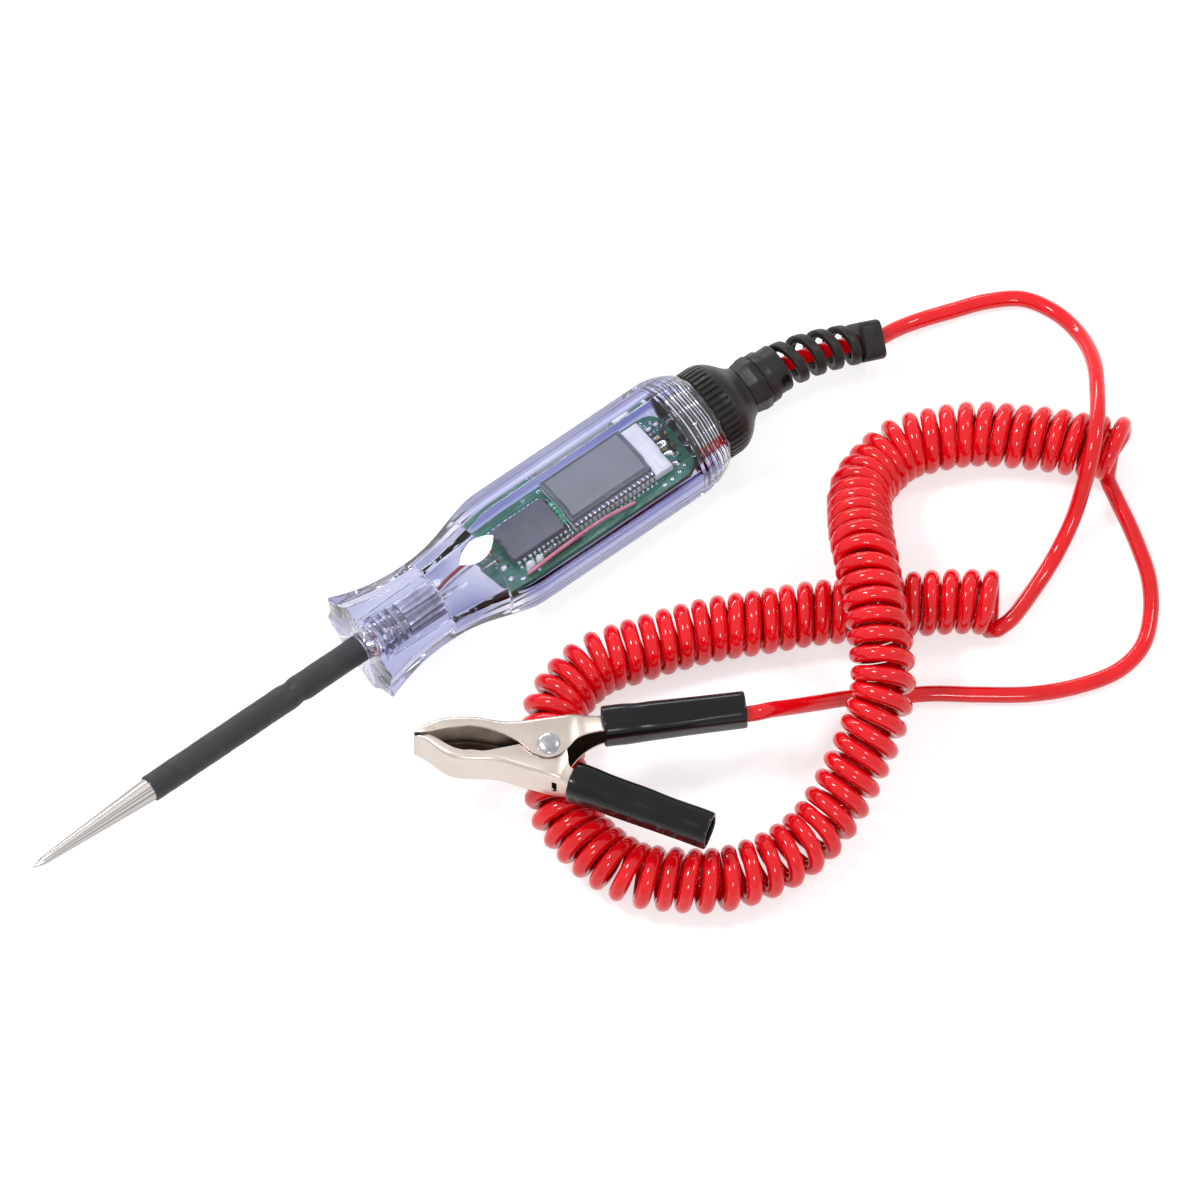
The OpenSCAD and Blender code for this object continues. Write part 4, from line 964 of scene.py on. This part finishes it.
def strain_relief():
    """Faceted neck, lip, band and a right-handed ribbon along the lead, with a collar at its end."""
    s = Shape()
    rows = [(102.35, 5.5, 0.7), (102.5, 5.75, 0.6), (103.2, 5.95, 0.5), (104.6, 6.2, 0.5), (104.8, 6.35, 0.6),
            (106.6, 6.35, 0.6), (106.95, 6.1, 0.7)]
    neck = facet_prism(rows, 8, 0, lambda d, y, z: (d, y, z))
    r = 3.2
    bore = [[(x, r * y / hypot(y, z), r * z / hypot(y, z)) for _, y, z in neck[0]] for x in (106.95, 102.35)]
    s.rings(neck + bore, AXIS, loop=True)
    lip = [(106.7, r), (106.7, 5.9), (106.85, 6.25), (107.15, 6.5), (109.0, 6.45), (109.35, 6.25), (109.5, 5.85),
           (109.5, r)]
    s.lathe(lip, 64, AXIS, loop=True)
    rings = []
    band = [(109.2, 5.8)] + [(109.5 + 0.15 * k, 5.85) for k in range(23)]
    band += [(113.0, 5.65), (113.05, r), (109.2, r)]
    for x, far in band:
        rings.append([])
        for w in circle(144):
            off = abs((degrees(w) - 30.0 + 180) % 360 - 180)
            from_pit = ((x - 111.3) / 0.95) ** 4 + (off / 12.5) ** 4
            deep = 1.5 * ease((1.25 - from_pit) / 0.6) if far > 5 else 0
            rings[-1].append((x, -(far - deep) * cos(w), (far - deep) * sin(w)))
    s.rings(rings, AXIS, loop=True)
    root = [(97.1, 2.1), (97.1, 5.9), (97.3, 6.0), (98.9, 6.0), (99.1, 5.9), (99.1, 4.0), (102.6, 4.0),
            (102.6, 2.1)]
    s.lathe(root, 48, AXIS, loop=True)
    rings, (p, ahead, side, up) = ribbon()
    s.rings(rings)
    place = lambda d, a, b: p + ahead * d + side * a + up * b
    rows = [(-5.4, 4.2, 1.6), (-5.25, 4.55, 1.6), (-4.9, 4.7, 1.7), (-0.5, 4.7, 1.7), (-0.15, 4.55, 1.6),
            (0, 4.2, 1.6)]
    collar = facet_prism(rows, 4, radians(63.8), place)
    for d in (0, -5.4):
        spokes = [(q - place(-5.4, 0, 0)).normalized() * 2.3 for q in collar[0]]
        collar.append([place(d, v.dot(side), v.dot(up)) for v in spokes])
    s.rings(collar, loop=True)
    s.make("strain_relief_boot", "lead", rubber, "black_plastic", "strain_relief", sharp=38)
    stop = [(94.5, 1.95), (94.5, 3.3), (94.7, 3.5), (96.8, 3.5), (97.0, 3.3), (97.0, 1.95)]
    s = Shape().lathe(stop, 40, AXIS, loop=True)
    s.make("stop_ring", "lead", dark_wire, "black_plastic", "cable_stop", sharp=40)


cap()
strain_relief()


# ---------------------------------------------------------------- clip, in a frame on its rivet

SHEET = 0.8


def channel_section(outer, inner, height):
    """Cross-section of a bent sheet channel, from its web at outer to its two edges at inner."""
    o, i = Vector((*outer, 0)), Vector((*inner, 0))
    span = (i - o).length
    ahead = (i - o) / max(span, 1e-6)
    bend = min(1.15, span * 0.5, height * 0.4)
    thick = min(SHEET, span * 0.42, bend * 0.6)
    half = height / 2

    def wall(deep):
        """Upper half of the section, so deep below the outer face."""
        r = bend - deep
        turn = [(bend - r * sin(w), half - bend + r * cos(w)) for w in map(radians, (0, 22, 45, 68, 90))]
        return [(span, half - deep), (span * 0.5 + bend * 0.5, half - deep), *turn, (deep, half * 0.3)]

    outside, inside = wall(0), wall(thick)
    whole = outside + [(q, -z) for q, z in reversed(outside)] + [(q, -z) for q, z in inside] + inside[::-1]
    return [o + ahead * q + Vector((0, 0, z)) for q, z in whole]


def stations(rows, per=4):
    """Finer rows of (outer, inner, height), on smooth curves through the given rows."""
    lines = [[Vector((*r[:2], 0)) for r in rows], [Vector((*r[2:4], 0)) for r in rows],
             [Vector((r[4], 0, 0)) for r in rows]]

    def at(line, i, f):
        p0, p1, p2, p3 = (line[min(max(i + k, 0), len(line) - 1)] for k in (-1, 0, 1, 2))
        square, cube = 2 * p0 - 5 * p1 + 4 * p2 - p3, 3 * p1 - p0 - 3 * p2 + p3
        return 0.5 * (2 * p1 + (p2 - p0) * f + square * f ** 2 + cube * f ** 3)

    out = []
    for i in range(len(rows) - 1):
        for k in range(per):
            outer, inner, tall = (at(line, i, k / per) for line in lines)
            out.append((outer.xy, inner.xy, tall.x))
    return out + [(rows[-1][:2], rows[-1][2:4], rows[-1][4])]


def handle_at(root, turn, s, w):
    """Point s along and w across a clip handle."""
    t = radians(turn)
    return (root[0] + s * cos(t) - w * sin(t), root[1] + s * sin(t) + w * cos(t))


def handle_rows(root, turn, half, pairs):
    """Rows of a handle's sheet from (distance along it, height), with its edges half a width off the middle."""
    return [(*handle_at(root, turn, s, half), *handle_at(root, turn, s, -half), h) for s, h in pairs]


FIXED_ROOT, FIXED_TURN = (-10.015, -6.614), 187.6
MOVING_ROOT, MOVING_TURN = (-3.588, 6.396), 158.5


def carve(obj, cutter):
    """Cuts a solid out of a piece."""
    blade = cutter.mesh("cutter")
    tool = put("cutter", blade)
    mod = obj.modifiers.new("carve", "BOOLEAN")
    mod.operation = "DIFFERENCE"
    mod.solver = "EXACT"
    mod.object = tool
    bpy.context.view_layer.update()
    done = bpy.data.meshes.new_from_object(obj.evaluated_get(bpy.context.evaluated_depsgraph_get()))
    obj.modifiers.remove(mod)
    old, obj.data = obj.data, done
    bpy.data.objects.remove(tool)
    for mesh in (old, blade):
        bpy.data.meshes.remove(mesh)
    shade(done, 32)


def soften(obj):
    """Rounds the cut edges of a sheet."""
    mod = obj.modifiers.new("soften", "BEVEL")
    mod.width = 0.14 * MM
    mod.segments = 2
    mod.limit_method = "ANGLE"
    mod.angle_limit = radians(40)
    mod.harden_normals = True


def jaw(name, body, rows, node):
    """Bent sheet through its rows, its inner side in a darker, rougher copy of the nickel, whose darkness is
    painted shade.
    """
    rings = [channel_section(*row) for row in stations(rows)]
    n = len(rings[0])
    s = Shape().rings(rings, CLIP)
    # Faces on the channel's inner side take the darker nickel, which is painted shade.
    s.marks = [int(k < (len(rings) - 1) * n and n // 2 <= k % n < n - 1) for k in range(len(s.faces))]
    return s.make(name, body, [nickel, nickel_shaded_inside], "clip_nickel", node)


def jaws():
    """Both jaws, each from its tip to the end of its handle, in rows of outer x, y, inner x, y and height."""
    tall, low = 14.2, 12
    upper = [
        (31.15, -3.35, 30.7, -3.15, 13.2), (30.3, -4.0, 29.5, -3.15, 13.9), (28.9, -5.0, 28.3, -3.15, tall),
        (27, -6, 26.8, -3.3, tall), (25, -6.75, 25, -3.75, tall), (23, -7.15, 23, -4.2, tall),
        (20, -7.3, 19, -4.7, tall), (17, -7.2, 16.5, -4.55, tall), (14.3, -6.75, 14.3, -4.1, tall),
        (11.4, -6.2, 12, -3.3, tall), (9.1, -6.05, 9.4, -2.1, tall), (6.7, -6.2, 6.3, -0.2, tall),
        (4.4, -6.5, 4.3, 1.6, tall), (2.2, -6.85, 2.1, 2.85, tall), (0, -7.2, 0, 3.25, tall),
        (-2.2, -7.5, -2.6, 2.5, tall), (-4.4, -7.85, -4.6, 0.6, 14.0), (-6.4, -8.15, -6.6, -1.9, 12.9),
        (-8.2, -8.45, -9.0, -3.6, 10.4),
    ]
    upper += handle_rows(FIXED_ROOT, FIXED_TURN, 2.1, [(1.6, 8.2), (4, 7.05), (12, 7), (22, 7), (34, 7)])
    soften(jaw("fixed_jaw", "lead", upper, "clip_fixed_jaw"))
    lower = [
        (30.95, -2.75, 30.5, -2.9, 11.0), (29.9, -2.3, 29.2, -2.9, 11.6), (28.2, -1.2, 27.6, -2.75, low),
        (25.9, 0.8, 25.6, -1.75, low), (24.2, 2.05, 23.6, -0.45, low), (22.2, 2.95, 21.6, 0.55, low),
        (19.8, 3.4, 19.3, 1.1, low), (17.2, 3.5, 16.9, 1.3, low), (14.9, 3.5, 14.6, 1.25, low),
        (12.6, 3.65, 12.2, 0.8, low), (10.3, 4.15, 9.2, 0.15, low), (8.5, 4.75, 6.4, -0.45, low),
        (6.4, 5.45, 4.2, -1.2, low), (4.4, 6.1, 2.6, -3.2, low), (2.4, 6.7, 0, -4.15, low),
        (0.6, 7.25, -2.6, -3.25, 11.9), (-0.9, 7.7, -3.95, -1.1, 11.6), (-2.3, 8.15, -4.4, 2.0, 10.8),
    ]
    heights = [(0.6, 9.4), (2.6, 7.4), (5, 7), (14, 7), (24, 7), (34, 7)]
    lower += handle_rows(MOVING_ROOT, MOVING_TURN, -2.1, heights)
    moving = jaw("moving_jaw", "moving_jaw", lower, "clip_moving_jaw")
    hole_r, spring_slot = 1.97, Shape().block((-1.85, 5.4, -2.4), (1.15, 5, 4.8), CLIP, bevel=0.6)
    rivet_hole = [[(hole_r * cos(w), hole_r * sin(w), z) for w in circle(40)] for z in (-15, 15)]
    carve(moving, Shape().rings(rivet_hole, CLIP))
    carve(moving, spring_slot)
    soften(moving)


def rivet():
    """Headed pin through both jaws, its heads domed alike."""
    half, shank = 7.1, 1.9
    dome = [(0, 2.7), (0.12, 2.72), (0.3, 2.62), (0.5, 2.35), (0.68, 1.9), (0.8, 1.3), (0.87, 0.7), (0.9, 0.12)]
    side = [(half, shank)] + [(half + x, r) for x, r in dome]
    s = Shape().lathe([(-x, r) for x, r in reversed(side)] + side, 48, moved(CLIP, (0, 0, 0), -90, "Y"))
    s.make("jaw_rivet", "lead", rivet_steel, "rivet_steel", "clip_rivet", sharp=30)


def spring():
    """Torsion spring: one wire wound round the rivet, with a leg along each handle."""
    pitch, mean, turns = 1.12, 3.25, 1212 / 360
    first_angle = radians(198 + 90)
    steps = int(turns * 28)
    coil = []
    for k in range(steps + 1):
        w = first_angle + 2 * pi * turns * k / steps
        coil.append(Vector((mean * cos(w), mean * sin(w), pitch * turns * (0.5 - k / steps))))
    first = coil[0] + (coil[0] - coil[1]).normalized() * 11
    last = coil[-1] + (coil[-1] - coil[-2]).normalized() * 11
    leg_in = [first.lerp(coil[0], k / 6) for k in range(6)]
    leg_out = [coil[-1].lerp(last, k / 6) for k in range(1, 7)]
    s = Shape().tube(leg_in + coil + leg_out, 0.55, 14, CLIP)
    s.make("jaw_spring", "lead", spring_steel, "needle_steel", "clip_spring", sharp=60)


def soft_outline(width, height, radius, count=7):
    """Rounded rectangle, as (across, up) points."""
    arcs = []
    for sx, sy, base in CORNERS:
        cx, cy = sx * (width / 2 - radius), sy * (height / 2 - radius)
        angles = [radians(base + 90 * k / (count - 1)) for k in range(count)]
        arcs.append([(cx + radius * cos(w), cy + radius * sin(w)) for w in angles])
    out = []
    for arc, following in zip(arcs, arcs[1:] + arcs[:1]):
        (a, b), (c, d) = arc[-1], following[0]
        out += arc + [(a + (c - a) * f, b + (d - b) * f) for f in (0.25, 0.5, 0.75)]
    return out


def sleeve(name, body, node, root, turn, widths, heights, shift, crease, front):
    """Soft sleeve over a clip handle, pulled in where the sheet below ends, open at its rear."""
    outside = [(front, 0.35), (front + 0.1, 0.1), (front + 0.4, 0)] + [(s, 0) for s in after(3, 35.4, 40)]
    outside += [(35.75, 0.06), (35.95, 0.2), (36, 0.4)]
    inside = [(36, 0.75), (35.9, 0.95), (35.6, 1), (34.2, 1)] + [(s, 1) for s in after(34, 3, 8)]
    inside += [(front, 0.8)]
    rings = []
    no_dents = lambda s, a, b: 0
    for rows, corner, share, dents in ((outside, 3.1, 0.38, crease), (inside, 2.3, 0.36, no_dents)):
        for s, inset in rows:
            w, h = straight(widths, s) - 2 * inset, straight(heights, s) - 2 * inset
            rings.append([])
            for a, b in soft_outline(w, h, min(corner, w * share)):
                keep = 1 - dents(s, a / w, b / h)
                rings[-1].append((s, a * keep + straight(shift, s), b * keep))
    s = Shape().rings(rings, moved(CLIP, (*root, 0), turn, "Z"), loop=True)
    s.make(name, body, sleeve_black, "sleeve_black", node, sharp=50)


def press(s, a, b):
    """Shallow thumb-pressed hollow on top of the upper sleeve, where the sheet's shoulder shows through."""
    ridge = 0.04 * exp(-((s - 10.5) / 2.2) ** 2)
    fold = 0.1 * exp(-((s - 22 - 8 * a) / 5) ** 2 - ((a + 0.12) / 0.16) ** 2)
    return (ridge + fold) * ease((b + 0.1) / 0.4)


def sag(s, a, b):
    """Slack skin of the lower sleeve."""
    return 0.02 * exp(-((s - 9) / 2.5) ** 2) + 0.015 * sin(s * 0.5 + 3 * a) * ease((b + 0.1) / 0.5)


def sleeves():
    sleeve("fixed_sleeve", "lead", "clip_fixed_sleeve", FIXED_ROOT, FIXED_TURN,
           [(2.6, 8.5), (8, 8.6), (12, 8.4), (24, 8.0), (36, 7.8)],
           [(2.6, 9.2), (9, 9.2), (12.5, 8.9), (24, 8.6), (36, 8.5)], [(2.6, 0.65), (36, 0.6)], press, 2.6)
    sleeve("moving_sleeve", "moving_jaw", "clip_moving_sleeve", MOVING_ROOT, MOVING_TURN,
           [(2.6, 8.7), (10, 8.5), (30, 8.0), (36, 8.1)],
           [(2.6, 9.2), (10, 9.0), (30, 8.8), (36, 9.0)], [(2.6, 0.8), (36, 0.6)], sag, 1.6)


def crimp():
    """Ferrule on the lead's end, inside the upper handle."""
    at = moved(CLIP, (*handle_at(FIXED_ROOT, FIXED_TURN, 26, -0.6), 0), FIXED_TURN, "Z")
    profile = [(0, 1.2), (0, 1.75), (0.2, 1.88), (1.4, 1.88), (2.2, 1.6), (3.4, 1.55), (4.2, 1.85), (5.2, 1.88),
               (6.8, 1.88), (7, 1.7), (7, 1.2)]
    s = Shape().lathe(profile, 32, at)
    s.make("wire_ferrule", "lead", rivet_steel, "rivet_steel", "wire_crimp", sharp=40)


jaws()
rivet()
spring()
sleeves()
crimp()


# ---------------------------------------------------------------- floor and light

FLOOR_GREY, FLOOR_GLOW = 0.55, 0.62
WORLD_FILL = 0.68


def shader(nt, kind, **values):
    node = nt.nodes.new("ShaderNode" + kind)
    for name, value in values.items():
        node.inputs[name].default_value = value
    return node.outputs[0]


def finish_tree(nt, output, plain, shown):
    """Ends a node tree: shown for the camera, mirrors and glass, plain for every other ray."""
    path = nt.nodes.new("ShaderNodeLightPath")
    seen = path.outputs["Is Camera Ray"]
    for kind in ("Is Glossy Ray", "Is Transmission Ray"):
        either = nt.nodes.new("ShaderNodeMath")
        either.operation = "MAXIMUM"
        nt.links.new(seen, either.inputs[0])
        nt.links.new(path.outputs[kind], either.inputs[1])
        seen = either.outputs[0]
    mix = nt.nodes.new("ShaderNodeMixShader")
    for socket, source in zip(mix.inputs, (seen, plain, shown)):
        nt.links.new(source, socket)
    nt.links.new(mix.outputs[0], nt.nodes.new(output).inputs[0])


def flat_floor():
    """Pale floor, which glows a little where it is seen, so that it looks nearly white."""
    mesh = bpy.data.meshes.new("floor")
    mesh.from_pydata([(-3, -3, 0), (3, -3, 0), (3, 3, 0), (-3, 3, 0)], [], [(0, 1, 2, 3)])
    obj = put("floor", mesh)
    mat = bpy.data.materials.new("floor")
    mat.use_nodes = True
    nt = mat.node_tree
    nt.nodes.clear()
    both = nt.nodes.new("ShaderNodeAddShader")
    grey = shader(nt, "BsdfDiffuse", Color=(FLOOR_GREY, FLOOR_GREY, FLOOR_GREY, 1))
    nt.links.new(grey, both.inputs[0])
    nt.links.new(shader(nt, "Emission", Strength=FLOOR_GLOW), both.inputs[1])
    plain = shader(nt, "BsdfDiffuse", Color=(0.8, 0.8, 0.8, 1))
    finish_tree(nt, "ShaderNodeOutputMaterial", plain, both.outputs[0])
    mesh.materials.append(mat)


def soft_box(name, place, target, size, power, size_y=None):
    """Square lamp, or a long one if size_y is given, that faces its target."""
    data = bpy.data.lights.new(name, "AREA")
    data.shape = "RECTANGLE" if size_y else "SQUARE"
    data.size = size
    if size_y:
        data.size_y = size_y
    data.energy = power
    obj = put(name, data)
    obj.location = place
    obj.rotation_euler = (Vector(place) - Vector(target)).to_track_quat("Z", "Y").to_euler()


def white_world():
    """White all round for the camera and for reflections, dimmer as a light."""
    world = bpy.data.worlds.new("world")
    bpy.context.scene.world = world
    world.use_nodes = True
    nt = world.node_tree
    nt.nodes.clear()
    dim, bright = (shader(nt, "Background", Strength=strength) for strength in (WORLD_FILL, 1.0))
    finish_tree(nt, "ShaderNodeOutputWorld", dim, bright)


flat_floor()
centre = (0.04, -0.04, 0)
soft_box("key", (-0.39, 0.41, 1.18), centre, 0.26, 7)
soft_box("fill", (0.9, -0.2, 1.0), centre, 0.24, 3)
soft_box("front", (-0.5, -0.9, 0.9), centre, 0.24, 3)
soft_box("back_strip", (0.27, 0.79, 0.37), (0.02, 0, 0.01), 0.7, 2.6, 0.07)
white_world()

bpy.context.scene.view_settings.view_transform = "Standard"
